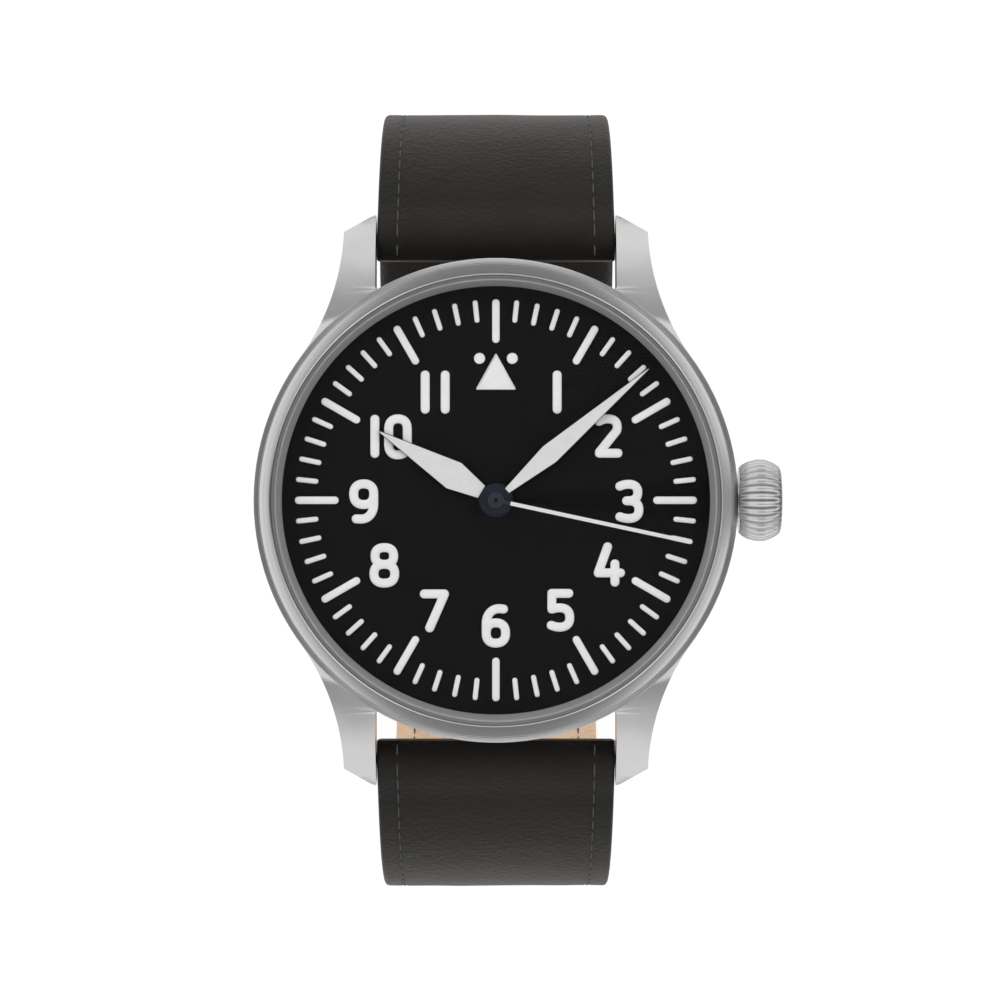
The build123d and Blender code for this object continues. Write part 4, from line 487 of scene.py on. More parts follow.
def clear_glass(name, bend):
    """Glass that lets lamp light through to what lies behind it."""
    finish, tree, shader = new_finish(name, {
        "Base Color": white, "Roughness": 0.0, "IOR": bend, "Transmission Weight": 1.0})
    path = wire(tree, "ShaderNodeLightPath").outputs
    unseen = reckoned(tree, "MAXIMUM", path["Is Shadow Ray"], path["Is Diffuse Ray"])
    through = wire(tree, "ShaderNodeBsdfTransparent", {"Color": (0.97, 0.97, 0.97, 1)})
    both = wire(tree, "ShaderNodeMixShader", {0: unseen, 1: shader.outputs[0], 2: through.outputs[0]})
    feed(tree.nodes["Material Output"], {"Surface": both.outputs[0]})
    return finish


dome_reach = crystal_rim - crystal_chamfer
dome_low = crystal_edge + crystal_chamfer
crystal_outline = [
    (0.0, crystal_low), (crystal_rim - crystal_ease, crystal_low), (crystal_rim, crystal_low + crystal_ease),
    (crystal_rim, crystal_edge), (dome_reach, dome_low)]
for step in range(1, dome_steps + 1):
    spread = dome_reach * (1 - step / dome_steps)
    crystal_outline.append((spread, dome_low + crystal_rise * (1 - (spread / dome_reach) ** 2)))
crystal = turned_piece("crystal_dome", crystal_outline, clear_glass("crystal_glass", coated_bend))
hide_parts("crystal")
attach(crystal, "root")


# Flange ring: the sloped ring between the dial and the crystal, turned and painted a
# matte grey, with a bright turned edge at its top.
flange_outline = ((17.66, 7.00), (18.68, 7.00), (18.68, 7.58), (18.18, 7.58), (18.18, 8.79), (18.09, 8.79))
flange_bare = 8.775
flange_paint, flange_tree, flange_shader = new_finish("flange_paint", {"Specular IOR Level": 0.3})
flange_speck = noise(flange_tree, object_place(flange_tree), 9000.0)
flange_tone = mixed(flange_tree, flange_speck, (0.29, 0.29, 0.292, 1), (0.34, 0.34, 0.342, 1))
flange_height = axes_of(flange_tree, object_place(flange_tree))["Z"]
flange_lip = reckoned(flange_tree, "GREATER_THAN", flange_height, flange_bare * mm)
feed(flange_shader, {
    "Base Color": mixed(flange_tree, flange_lip, flange_tone, (0.45, 0.45, 0.45, 1)),
    "Metallic": flange_lip,
    "Roughness": ranged(flange_tree, flange_speck, after=(0.38, 0.5))})
flange_ring = turned_piece("flange_slope", eased(flange_outline, 0.02), flange_paint)
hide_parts("flange_ring")
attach(flange_ring, "root")


# Dial: a brass disc under matte black lacquer, with two feet that pin it to the movement.
def speckled(name, constants, deep, pale, grain, roughness, relief, depth=grain_depth):
    """Finish with a fine speckle in tone, skin and, where given, roughness; grain is what noise takes."""
    finish, tree, shader = new_finish(name, constants)
    speck = noise(tree, object_place(tree), *grain)
    feed(shader, {"Base Color": mixed(tree, speck, deep, pale), "Normal": bumped(tree, speck, relief, depth)})
    if roughness:
        feed(shader, {"Roughness": ranged(tree, speck, after=roughness)})
    return finish


finish_node("dial", speckled(
    "dial_black", {"Specular IOR Level": 0.1}, (0.002, 0.002, 0.002, 1), (0.0045, 0.0045, 0.0045, 1),
    (7000.0, 3.0, 0.7), (0.75, 0.9), 0.15), 0)


# Marks and numerals: luminous paste laid in thick round-backed strokes on the dial,
# twelve hour bars, forty-eight minute bars, a triangle with two dots, and 1 to 11.
dial_mm = dial_top / mm
mark_height = 0.13
numeral_height = 0.16
stroke_half = 0.37
stroke_crown = 0.75
section_steps = 12
end_steps = 6
upright_reach = 1.41
minute_bar_half = 0.21
minute_bar_ends = ((14.93, 0), (16.37, 0))
hour_bar_half = 0.31
hour_bar_ends = ((13.28, 0), (16.27, 0))
triangle_corners = ((0.0, 12.17), (-1.69, 9.12), (1.69, 9.12))
triangle_ease = 0.2
dot_place = (1.35, 11.7)
dot_radius = 0.455
dot_sides = 40
patch_ease = 0.1


def lume_finish(name, pale, deep):
    """Off-white luminous paste: a faint grain and slightly deeper where it lies thin."""
    finish, tree, shader = new_finish(name, {"Roughness": 0.62, "Specular IOR Level": 0.3})
    place = object_place(tree)
    grain = noise(tree, place, 5200.0, 4.0)
    depth = ranged(tree, reckoned(tree, "MULTIPLY", grain, noise(tree, place, 900.0)), (0.12, 0.4))
    feed(shader, {"Base Color": mixed(tree, depth, deep, pale), "Normal": bumped(tree, grain, 0.12, 0.02)})
    return finish


mark_lume = lume_finish("mark_lume", (0.82, 0.82, 0.815, 1), (0.76, 0.76, 0.755, 1))


def tube_faces(rings, sides):
    """Quads along a tube of rings, and a face over each of its ends."""
    last = (rings - 1) * sides
    return ring_faces(rings, sides, False) + [tuple(range(sides)), tuple(range(last, last + sides))]


def headings(path, closed=True):
    """Unit directions along a flat path."""
    ahead = np.roll(path, -1, 0) - np.roll(path, 1, 0) if closed else np.gradient(path, axis=0)
    return ahead / np.linalg.norm(ahead, axis=1)[:, None]


def stroke(path, half, height, closed=False):
    """Points and faces of a round-backed stroke along a flat path, with domed ends."""
    path = np.array(path, float)
    ahead = headings(path, closed)
    stations = [(spot, way, 1.0) for spot, way in zip(path, ahead)]
    if not closed:
        for step in range(1, end_steps + 1):
            swing = pi / 2 * step / end_steps
            size = max(cos(swing), 0.001)
            stations.insert(0, (path[0] - ahead[0] * half * sin(swing), ahead[0], size))
            stations.append((path[-1] + ahead[-1] * half * sin(swing), ahead[-1], size))
    points = []
    for spot, way, size in stations:
        side = np.array((-way[1], way[0]))
        for step in range(section_steps + 1):
            turn = pi * step / section_steps
            flat = spot + side * half * size * cos(turn)
            points.append((flat[0], flat[1], dial_mm + height * (sin(turn) * size) ** stroke_crown))
    faces = ring_faces if closed else tube_faces
    return points, faces(len(stations), section_steps + 1)


def joined(parts):
    """One list of points and faces from several."""
    points = []
    faces = []
    for more_points, more_faces in parts:
        faces.extend(tuple(index + len(points) for index in face) for face in more_faces)
        points.extend(more_points)
    return points, faces


def bow(centre, reach, start, turn, steps=28, power=2.35):
    """Points of a squarish bow about a centre, between two angles in degrees."""
    points = []
    for step in range(steps + 1):
        angle = radians(start + turn * step / steps)
        across = abs(cos(angle)) ** (2 / power) * (1 if cos(angle) >= 0 else -1)
        along = abs(sin(angle)) ** (2 / power) * (1 if sin(angle) >= 0 else -1)
        points.append((centre[0] + reach[0] * across, centre[1] + reach[1] * along))
    return points


def full_bow(centre, reach):
    """Points of a bow that closes on itself."""
    return bow(centre, reach, 0, 360, 48)[:-1]


def run(start, end, steps=10):
    """Points along a straight stroke."""
    start, end = np.array(start), np.array(end)
    return [tuple(start + (end - start) * step / steps) for step in range(steps + 1)]


# Each numeral has its place on the dial, its closed strokes and its open strokes.
upright = run((0, upright_reach), (0, -upright_reach))
numerals = {
    "1": ((5.05, 8.92), [], [upright]),
    "left of 11": ((-5.83, 8.92), [], [upright]),
    "right of 11": ((-4.18, 8.92), [], [upright]),
    "left of 10": ((-9.98, 5.275), [], [upright]),
    "2": ((9.27, 5.305), [], [
        [(-0.76, 1.21), (-0.50, 1.34)] + bow((-0.06, 0.73), (0.79, 0.68), 100, -122)
        + run((0.62, 0.35), (-0.72, -1.31), 12),
        run((-0.74, -1.42), (0.79, -1.42)),
    ]),
    "3": ((11.03, -0.085), [], [
        [(-0.81, 1.245), (-0.50, 1.365)] + bow((-0.10, 0.73), (0.77, 0.68), 95, -185) + [(-0.25, 0.045)],
        [(-0.25, 0.045)] + bow((-0.10, -0.69), (0.86, 0.73), 90, -185) + [(-0.50, -1.375), (-0.81, -1.27)],
    ]),
    "4": ((9.36, -5.30), [], [
        run((-0.15, 1.465), (-0.92, -0.67)),
        run((-0.92, -0.685), (0.91, -0.685)),
        run((0.455, 0.057), (0.455, -1.446)),
    ]),
    "5": ((5.325, -9.075), [], [
        run((-0.71, 1.40), (0.68, 1.40)),
        run((-0.71, 1.40), (-0.71, 0.12)),
        [(-0.71, 0.10), (-0.46, 0.17)] + bow((-0.09, -0.588), (0.856, 0.80), 92, -184)
        + [(-0.44, -1.345), (-0.76, -1.235)],
    ]),
    "6": ((0.0, -10.355), [full_bow((0, -0.588), (0.80, 0.835))], [
        run((-0.80, -0.588), (-0.80, 0.15), 6) + bow((0.27, 0.186), (1.07, 1.237), 179, -89, 24, 2.1)
        + [(0.63, 1.385)],
    ]),
    "7": ((-5.05, -9.12), [], [
        run((-0.855, 1.40), (0.80, 1.40)),
        run((0.81, 1.38), (-0.41, -1.40)),
    ]),
    "8": ((-9.2, -5.365), [full_bow((0, 0.775), (0.766, 0.69)), full_bow((0, -0.69), (0.857, 0.775))], []),
    "9": ((-10.9, -0.085), [full_bow((0, 0.588), (0.83, 0.85))], [
        run((0.83, 0.588), (0.83, -0.1), 6) + bow((-0.21, -0.22), (1.04, 1.243), -1, -89, 24, 2.1)
        + [(-0.62, -1.45)],
    ]),
    "right of 10": ((-8.075, 5.23), [
        bow((0, 0.62), (0.766, 0.864), 0, 180, 26) + bow((0, -0.62), (0.766, 0.864), 180, 180, 26),
    ], []),
}
numeral_parts = []
for place, closed_paths, open_paths in numerals.values():
    for path in closed_paths + open_paths:
        moved = [(place[0] + across, place[1] + along) for across, along in path]
        numeral_parts.append(stroke(moved, stroke_half, numeral_height, path in closed_paths))
dial_numerals = new_piece("dial_numerals", *joined(numeral_parts), mark_lume)
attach(dial_numerals, "root")


def settled(tree, geometry, material):
    """Real mesh in its material, from a tree's copies."""
    real = wire(tree, "GeometryNodeRealizeInstances", {"Geometry": geometry}).outputs[0]
    return wire(tree, "GeometryNodeSetMaterial", {"Geometry": real, "Material": material}).outputs[0]


def mark_tree():
    """Geometry tree that sets copies of one bar round the dial and can leave out the first of a group."""
    tree, given, end = new_group("marks_round_dial", "GeometryNodeTree", (
        ("Geometry", "Geometry"), ("Count", "Int"), ("Group", "Int"), ("Left out", "Int"),
        ("Material", "Material")), (("Geometry", "Geometry"),))
    spots = wire(tree, "GeometryNodePoints", {"Count": given["Count"]}).outputs[0]
    number = wire(tree, "GeometryNodeInputIndex").outputs[0]
    turn = reckoned(tree, "MULTIPLY", number, reckoned(tree, "DIVIDE", tau, given["Count"]))
    twist = wire(tree, "ShaderNodeCombineXYZ", {2: turn}).outputs[0]
    rest = reckoned(tree, "MODULO", number, given["Group"])
    kept = wire(tree, "FunctionNodeCompare", {0: rest, 1: given["Left out"]}, data_type="FLOAT",
                operation="GREATER_EQUAL").outputs[0]
    placed = wire(tree, "GeometryNodeInstanceOnPoints", {
        "Points": spots, "Selection": kept, "Instance": given["Geometry"], "Rotation": twist}).outputs[0]
    feed(end, {0: settled(tree, placed, given["Material"])})
    return tree


def settle(piece, change):
    """Keep what a modifier makes of a piece as its plain mesh."""
    result = bpy.data.meshes.new_from_object(piece.evaluated_get(bpy.context.evaluated_depsgraph_get()))
    piece.modifiers.remove(change)
    piece.data = result


def grown(base, tree, values):
    """Run a geometry tree on a piece and keep the result."""
    grower = base.modifiers.new("grow", "NODES")
    grower.node_group = tree
    for item in tree.interface.items_tree:
        if item.in_out == "INPUT" and item.name in values:
            grower[item.identifier] = values[item.name]
    settle(base, grower)


marks_round_dial = mark_tree()
minute_bars = new_piece(
    "minute_bars", *stroke(run(*minute_bar_ends, 4), minute_bar_half, mark_height), mark_lume)
grown(minute_bars, marks_round_dial, {"Count": 60, "Group": 5, "Left out": 1, "Material": mark_lume})
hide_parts("minute_marks")
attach(minute_bars, "root")

hour_bars = new_piece("hour_bars", *stroke(run(*hour_bar_ends, 4), hour_bar_half, mark_height), mark_lume)
grown(hour_bars, marks_round_dial, {"Count": 12, "Group": 12, "Left out": 0, "Material": mark_lume})
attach(hour_bars, "root")


def raised_patch(outline):
    """Flat patch of lume with a rounded rim: points and faces from a closed outline."""
    outline = np.array(outline, float)
    ahead = headings(outline)
    inwards = np.stack((-ahead[:, 1], ahead[:, 0]), 1)
    if np.dot(inwards[0], outline.mean(0) - outline[0]) < 0:
        inwards = -inwards
    points = [(across, along, dial_mm) for across, along in outline]
    for step in range(end_steps + 1):
        swing = pi / 2 * step / end_steps
        moved = outline + inwards * patch_ease * (1 - cos(swing))
        lift = mark_height - patch_ease + patch_ease * sin(swing)
        points.extend((across, along, dial_mm + lift) for across, along in moved)
    return points, tube_faces(end_steps + 2, len(outline))


def circle(middle, radius, sides, first=0.0):
    """Points of a circle; first is the part of a step before the first of them."""
    turns = [tau * (step + first) / sides for step in range(sides)]
    return [(middle[0] + radius * cos(turn), middle[1] + radius * sin(turn)) for turn in turns]


patches = [raised_patch(eased(triangle_corners, triangle_ease, 6))]
for side in (-1, 1):
    patches.append(raised_patch(circle((side * dot_place[0], dot_place[1]), dot_radius, dot_sides)))
twelve_marks = new_piece("twelve_marks", *joined(patches), mark_lume)
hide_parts("hour_marks")
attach(twelve_marks, "root")


# Hands: thin blued-steel blades pressed on their pipes. The blades are filled with pale
# lume to the edge, and only the round hubs stay dark.
hand_ease = 0.03
seconds_hub = 1.24
hand_dark = blasted_metal("hand_navy", (0.028, 0.030, 0.045, 1), 0.42)
hand_lume = lume_finish("hand_lume", (0.70, 0.70, 0.695, 1), (0.64, 0.64, 0.637, 1))
for hand in ("hour", "minute"):
    finish_node(hand + "_hand", hand_dark, hand_ease)
    finish_node(hand + "_lume", hand_lume, hand_ease)

seconds_paint, seconds_tree, seconds_shader = new_finish("seconds_paint", {})
seconds_reach = reach_of(seconds_tree, object_place(seconds_tree))
seconds_blade = reckoned(seconds_tree, "GREATER_THAN", seconds_reach, seconds_hub * mm)
feed(seconds_shader, {
    "Base Color": mixed(seconds_tree, seconds_blade, (0.010, 0.011, 0.016, 1), (0.72, 0.72, 0.715, 1)),
    "Roughness": ranged(seconds_tree, seconds_blade, after=(0.35, 0.55))})
finish_node("seconds_hand", seconds_paint, hand_ease)


# Crown: a steel barrel, turned to an onion form, with thirty rounded ribs milled along
# it for grip. It screws onto the end of the winding stem.
crown_axis = 4.9
crown_start = 20.15
crown_length = 3.5
crown_radius = 3.41
crown_ribs = 30
rib_sides = 14
rib_depth = 0.3
rib_crown = 0.75
barrel_steps = 24
barrel_share = 0.9
barrel_stations = (0.0, 0.06, 0.2, 0.42, 0.6, 0.78, 0.9)
barrel_girths = (0.80, 0.86, 0.94, 0.998, 0.995, 0.93, 0.86)
rib_rise = (0.55, 6)
rib_fall = (0.93, 12)
crown_foot = ((0.0, 0.40, 0.0), (0.0, 0.75, 0.0))
crown_end = ((0.94, 0.83, 0.5), (0.972, 0.785, 0.25), (0.99, 0.73, 0.1), (1.0, 0.66, 0.0), (1.0, 0.3, 0.0))


def crown_body():
    """Ribbed barrel. Each ring has its share of the length, its girth and how deep the ribs are."""
    rings = list(crown_foot)
    for step in range(barrel_steps + 1):
        share = barrel_share * step / barrel_steps
        girth = float(np.interp(share, barrel_stations, barrel_girths))
        ribbed = min(1.0, rib_rise[0] + share * rib_rise[1], (rib_fall[0] - share) * rib_fall[1])
        rings.append((share, girth, max(ribbed, 0.0)))
    rings += crown_end
    sides = crown_ribs * rib_sides
    points = []
    for share, girth, ribbed in rings:
        for side in range(sides):
            angle = tau * side / sides
            dip = rib_depth * ribbed * (1 - abs(cos(angle * crown_ribs / 2)) ** rib_crown)
            reach = crown_radius * girth - dip
            along = crown_start + crown_length * share
            points.append((along, reach * cos(angle), crown_axis + reach * sin(angle)))
    return points, tube_faces(len(rings), sides)


crown_steel = blasted_metal("crown_steel", (0.57, 0.573, 0.58, 1), 0.30)
lathe_turned(crown_steel, "X", 0.85)
crown = new_piece("crown_barrel", *crown_body(), crown_steel, radians(60))
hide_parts("crown")
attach(crown, "crown")


# Strap halves: black-brown leather, waxed and lightly worn, 1.4 mm thick, glued and
# stitched on a tan lining. Each half is rolled round its bar at the lugs, the short one
# also round the buckle's pin, where it is cut away for the tongue. The long one has its
# holes punched and its tail cut to a point. Lengths run along the strap from the bar.
leather_t = 1.4
lining_t = 1.1
skin_gap = 0.002
lining_gap = 0.004
strap_half_top = 9.93
strap_half_low = 9.25
strap_top_z = 4.35
strap_low_z = -44.356
roll = 1.75
roll_out = 3.2
path_step = 0.45
cut_ease = 0.38
cut_steps = 4
stitch_inset = 1.7
stitch_groove = 0.07
groove_half = 0.32
layer_insets = (0.42, 0.75, 1.1, 1.4, 1.55, 1.7, 1.85, 2.0, 2.3, 3.0, 4.0, 5.2, 6.6, 8.1)
wrinkle_waves = ((21.0, 0.016), (9.0, 0.014), (4.0, 0.010))
waves_each = 4
wrinkle_least = 0.5
same_place = 0.02
layer_least = 0.02
rim_least = 0.3
pinched = 0.02
far_inset = 20.0
leather_depth = 0.06
leather_sharp = radians(50)
short_seed, short_lining_seed, long_seed, long_lining_seed = 3, 5, 7, 9
shoulder = (10.8, -16.106)
shoulder_radius = 21.6
wrist = (8.4, -16.106)
short_radius = 24.0
side_centre = (-0.99, -16.106)
side_radius = 31.41
low_centre = (-12.0, -27.086)
low_radius = 15.87
tail_radius = 26.85
short_flat = -40.106
long_flat = -42.956
buckle_pin_y = -5.0
lug_bar_angle = 60.0
short_lining_start = 54
short_lining_end = 41
turn_in_angle = 49.0
turn_in_rise = 0.3
long_lining_skip = 6
notch_half = 1.3
notch_reach = 3.4
tail_point = 14.0
tail_tip = 0.12
hole_steps = range(-2, 4)
hole_step = 6.5
hole_half = 0.9
hole_sides = 32
slot_reach = -7.4
slot_half = 1.35
slot_straight = 0.95
punch_reach = 3.0


def plain_width(length, place):
    """Half width of the strap at a station."""
    share = (place[1] - strap_low_z) / (strap_top_z - strap_low_z)
    return strap_half_low + (strap_half_top - strap_half_low) * share


def lobe_width(length, place):
    """Half width of the leather beside the tongue."""
    return (plain_width(length, place) - notch_half) / 2


def arc_run(centre, radius, start, turn):
    """Stations along an arc in the (y, z) plane: place and outward direction."""
    steps = max(2, round(abs(radians(turn)) * radius / path_step))
    stations = []
    for step in range(steps + 1):
        angle = radians(start + turn * step / steps)
        out = (cos(angle), sin(angle))
        stations.append(((centre[0] + radius * out[0], centre[1] + radius * out[1]), out))
    return stations


def flat_run(start, end, height):
    """Stations along the flat stretch under the wrist."""
    steps = max(2, round(abs(end - start) / path_step))
    return [((start + (end - start) * step / steps, height), (0.0, -1.0)) for step in range(steps + 1)]


def chained(runs):
    """Stations of several runs with no place twice, and the length up to each."""
    stations = []
    for more in runs:
        for station in more:
            if not stations or np.hypot(*np.subtract(station[0], stations[-1][0])) > same_place:
                stations.append(station)
    lengths = [0.0]
    for before, after in zip(stations, stations[1:]):
        lengths.append(lengths[-1] + float(np.hypot(*np.subtract(after[0], before[0]))))
    return stations, np.array(lengths)


def wrinkles(length, across, seed):
    """Soft unevenness of worn leather, in millimetres."""
    draw = np.random.default_rng(seed)
    total = 0.0
    for size, height in wrinkle_waves:
        for _ in range(waves_each):
            heading = draw.uniform(0, pi)
            phase = draw.uniform(0, tau)
            total += height * 0.5 * sin(tau * (length * cos(heading) + across * sin(heading)) / size + phase)
    return total


def cut_edge(side, up, half, level, ease, swings):
    """Rounded corner of a layer: side is 1 or -1, and up is 1 for the outer face, -1 for the inner."""
    return [(side * (half - ease * (1 - cos(swing))), level - up * ease * (1 - sin(swing)))
            for swing in swings]


def layer_mesh(stations, lengths, outer, inner, width, seed, groove, side=0):
    """Points and faces of a leather layer: rounded cut edges, a groove under each stitch line, and
    side -1 or 1 for the leather on either side of the tongue."""
    quarter = [pi / 2 * step / cut_steps for step in range(cut_steps + 1)]
    points = []
    for (place, out), length in zip(stations, lengths):
        high = outer(length)
        low = inner(length)
        half = max(width(length, place), layer_least)
        middle = side * (plain_width(length, place) + notch_half) / 2
        ease = min(cut_ease, (high - low) * 0.45, half * 0.5)
        ring = []
        for inset in layer_insets:
            narrow = 1 if inset < half - rim_least else pinched
            ring.append((max(half - inset, 0.0) * narrow, inset))
        face = []
        for across, inset in ring + [(0.0, far_inset)] + [(-across, inset) for across, inset in ring[::-1]]:
            dip = groove * max(0.0, 1 - abs(inset - stitch_inset) / groove_half)
            lift = wrinkles(length, across + middle, seed) if high - low > wrinkle_least else 0.0
            face.append((across, high - dip + lift))
        loop = cut_edge(1, 1, half, high, ease, quarter[:-1]) + face
        loop += cut_edge(-1, 1, half, high, ease, quarter[-2::-1])
        loop += cut_edge(-1, -1, half, low, ease, quarter)
        loop += [(share * (half - ease), low) for share in (-1.0, -0.5, 0.0, 0.5, 1.0)]
        loop += cut_edge(1, -1, half, low, ease, quarter[::-1])
        points.extend((across + middle, place[0] + out[0] * level, place[1] + out[1] * level)
                      for across, level in loop)
    return points, tube_faces(len(stations), len(points) // len(stations))


def leather_grain_group():
    """Pebbled leather skin: colour, roughness and height."""
    group, given, end = new_group("leather_grain", "ShaderNodeTree", (
        ("Deep", "Color", (0.02, 0.018, 0.016, 1)), ("Pale", "Color", (0.05, 0.046, 0.042, 1)),
        ("Pebble", "Float", 2600.0), ("Roughness", "Float", 0.6)), skin_outputs)
    place = object_place(group)
    pebble = wire(group, "ShaderNodeTexVoronoi", {
        "Vector": place, "Scale": given["Pebble"]}, feature="SMOOTH_F1").outputs["Distance"]
    drawn = wire(group, "ShaderNodeVectorMath", {
        0: place, 1: (0.5, 1.0, 1.0)}, operation="MULTIPLY").outputs[0]
    fibre = noise(group, drawn, 4200.0, 4.0, 0.65)
    worn = ranged(group, noise(group, place, 170.0, 5.0, 0.62), (0.34, 0.68))
    speck = ranged(group, fibre, (0.3, 0.72))
    blend = reckoned(group, "MULTIPLY_ADD", speck, 0.45, reckoned(group, "MULTIPLY_ADD", worn, 0.55, 0.0))
    feed(end, {
        "Colour": mixed(group, blend, given["Deep"], given["Pale"]),
        "Roughness": reckoned(group, "MULTIPLY_ADD", speck, 0.12, given["Roughness"]),
        "Height": reckoned(group, "MULTIPLY_ADD", fibre, 0.8, pebble)})
    return group


leather_grain = leather_grain_group()


def leather(name, deep, pale, pebble, roughness, relief):
    """Leather finish from the shared grain."""
    return grained(name, {
        "Specular IOR Level": 0.2, "Specular Tint": (1.0, 0.93, 0.86, 1), "Sheen Weight": 0.1,
        "Sheen Roughness": 0.5, "Sheen Tint": (1.0, 0.92, 0.84, 1),
    }, leather_grain, {
        "Deep": deep, "Pale": pale, "Pebble": pebble, "Roughness": roughness}, relief, leather_depth)


leather_black = leather(
    "leather_black", (0.0010, 0.0008, 0.0006, 1), (0.0075, 0.0060, 0.0048, 1), 2600.0, 0.5, 0.8)
leather_tan = leather("leather_tan", (0.64, 0.44, 0.30, 1), (0.95, 0.71, 0.51, 1), 3400.0, 0.7, 0.4)


def round_bar(apart):
    """Reach of the leather rolled round a bar, at a distance along the strap from the bar."""
    return sqrt(max(roll * roll - apart * apart, 0.0))


def settling(apart):
    """1 beside a bar, falling softly to 0 where the roll has run out into the plain strap."""
    return 0.5 + 0.5 * cos(pi * min(max(apart, 0.0) / roll_out, 1.0))


def long_outer(length):
    """Outer face of the long half, and of the short half as far as the buckle's pin."""
    if length < roll:
        return round_bar(roll - length) + skin_gap
    return leather_t + (roll - leather_t) * settling(length - roll)


def long_inner(length):
    """Inner face of the long half, which the lining covers beyond the roll."""
    if length < roll:
        return -round_bar(roll - length) - skin_gap
    return -roll * settling(length - roll) - skin_gap


roll_turn = float(np.degrees(roll / shoulder_radius))
short_stations, short_lengths = chained([
    arc_run(shoulder, shoulder_radius, lug_bar_angle + roll_turn, -lug_bar_angle - roll_turn),
    arc_run(wrist, short_radius, 0, -90),
    flat_run(wrist[0], buckle_pin_y - roll, short_flat),
])
short_total = short_lengths[-1]
short_turn_in = short_total - (wrist[0] - buckle_pin_y + roll) - radians(turn_in_angle) * short_radius


def short_outer(length):
    """Outer face of the short half."""
    if length > short_total - roll:
        return round_bar(length - short_total + roll) - roll + leather_t + skin_gap
    return long_outer(length)


def short_inner(length):
    """Inner face of the short half: the turned-in leather lies against the wrist."""
    if length > short_total - roll:
        return -round_bar(length - short_total + roll) - roll + leather_t - skin_gap
    if length > short_turn_in:
        bulge = (2 * roll - leather_t - lining_t) * settling(short_total - roll - length)
        return -lining_t * min(1.0, (length - short_turn_in) / turn_in_rise) - bulge
    return long_inner(length)


notch_station = int(np.searchsorted(short_lengths, short_total - notch_reach)) - 1
short_parts = [layer_mesh(
    short_stations[:notch_station + 1], short_lengths[:notch_station + 1], short_outer, short_inner,
    plain_width, short_seed, stitch_groove)]
for side in (-1, 1):
    short_parts.append(layer_mesh(
        short_stations[notch_station:], short_lengths[notch_station:], short_outer, short_inner,
        lobe_width, short_seed, 0.0, side))
short_leather = new_piece("short_leather", *joined(short_parts), leather_black, leather_sharp)
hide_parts("short_strap")
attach(short_leather, "root")


def lining_outer(length):
    """Face of the lining that is glued to the leather."""
    return -lining_gap


def lining_inner(length):
    """Face of the lining that lies on the wrist."""
    return -lining_t


short_skin_path = chained([
    arc_run(shoulder, shoulder_radius, short_lining_start, -short_lining_start),
    arc_run(wrist, short_radius, 0, -short_lining_end),
])
short_skin = new_piece("short_skin", *layer_mesh(
    *short_skin_path, lining_outer, lining_inner, plain_width, short_lining_seed, 0.0),
    leather_tan, leather_sharp)
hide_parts("short_lining")
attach(short_skin, "root")

long_stations, long_lengths = chained([
    arc_run((-shoulder[0], shoulder[1]), shoulder_radius, 180 - lug_bar_angle - roll_turn,
            lug_bar_angle + roll_turn),
    arc_run(side_centre, side_radius, 180, 45),
    arc_run(low_centre, low_radius, 225, 45),
    flat_run(low_centre[0], wrist[0], long_flat),
    arc_run(wrist, tail_radius, -90, 60),
])
long_total = long_lengths[-1]
tail_arc = (strap_half_low ** 2 + tail_point ** 2) / (2 * strap_half_low)


def long_width(length, place):
    """Half width that runs out to the pointed tail."""
    rest = long_total - length
    half = plain_width(length, place)
    if rest < tail_point:
        half = min(half, half - tail_arc + sqrt(max(tail_arc ** 2 - (tail_point - rest) ** 2, 0.0)))
    return max(half, tail_tip)


def prism(outline, place, along, out):
    """Cutter square to the strap: an outline of (across, along) pushed both ways through it."""
    points = []
    for level in (-punch_reach, punch_reach):
        for across, far in outline:
            points.append((across, *(place[axis] + along[axis] * far + out[axis] * level for axis in (0, 1))))
    return points, tube_faces(2, len(outline))


def punched(piece, parts):
    """Cut a piece with prisms and keep the result."""
    cutter = new_piece("cutter", *joined(parts), piece.data.materials[0])
    punch = piece.modifiers.new("punch", "BOOLEAN")
    punch.operation = "DIFFERENCE"
    punch.solver = "EXACT"
    punch.object = cutter
    settle(piece, punch)
    piece.data.set_sharp_from_angle(angle=leather_sharp)
    bpy.data.objects.remove(cutter)


tail_side = slice(-120, -1)
long_middle = float(np.interp(
    0.0, [place[0] for place, _ in long_stations[tail_side]], long_lengths[tail_side]))
hole_outline = circle((0, 0), hole_half, hole_sides, 0.5)
slot_outline = [(across, along + (slot_straight if along > 0 else -slot_straight))
                for across, along in circle((0, 0), slot_half, hole_sides, 0.5)]
hole_cutters = []
for step in hole_steps:
    spot = long_middle + slot_reach + step * hole_step
    nearest = int(np.argmin(np.abs(long_lengths - spot)))
    place, out = long_stations[nearest]
    along = (-out[1], out[0])
    offset = spot - long_lengths[nearest]
    place = (place[0] + along[0] * offset, place[1] + along[1] * offset)
    hole_cutters.append(prism(hole_outline if step else slot_outline, place, along, out))
long_leather = new_piece(
    "long_leather", *layer_mesh(long_stations, long_lengths, long_outer, long_inner, long_width, long_seed,
                                stitch_groove), leather_black, leather_sharp)
punched(long_leather, hole_cutters)
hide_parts("long_strap")
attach(long_leather, "root")

long_skip = int(np.argmax(long_lengths > roll + radians(long_lining_skip) * shoulder_radius))
long_skin = new_piece(
    "long_skin", *layer_mesh(long_stations[long_skip:], long_lengths[long_skip:], lining_outer, lining_inner,
                             long_width, long_lining_seed, 0.0), leather_tan, leather_sharp)
punched(long_skin, hole_cutters)
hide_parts("long_lining")
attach(long_skin, "root")


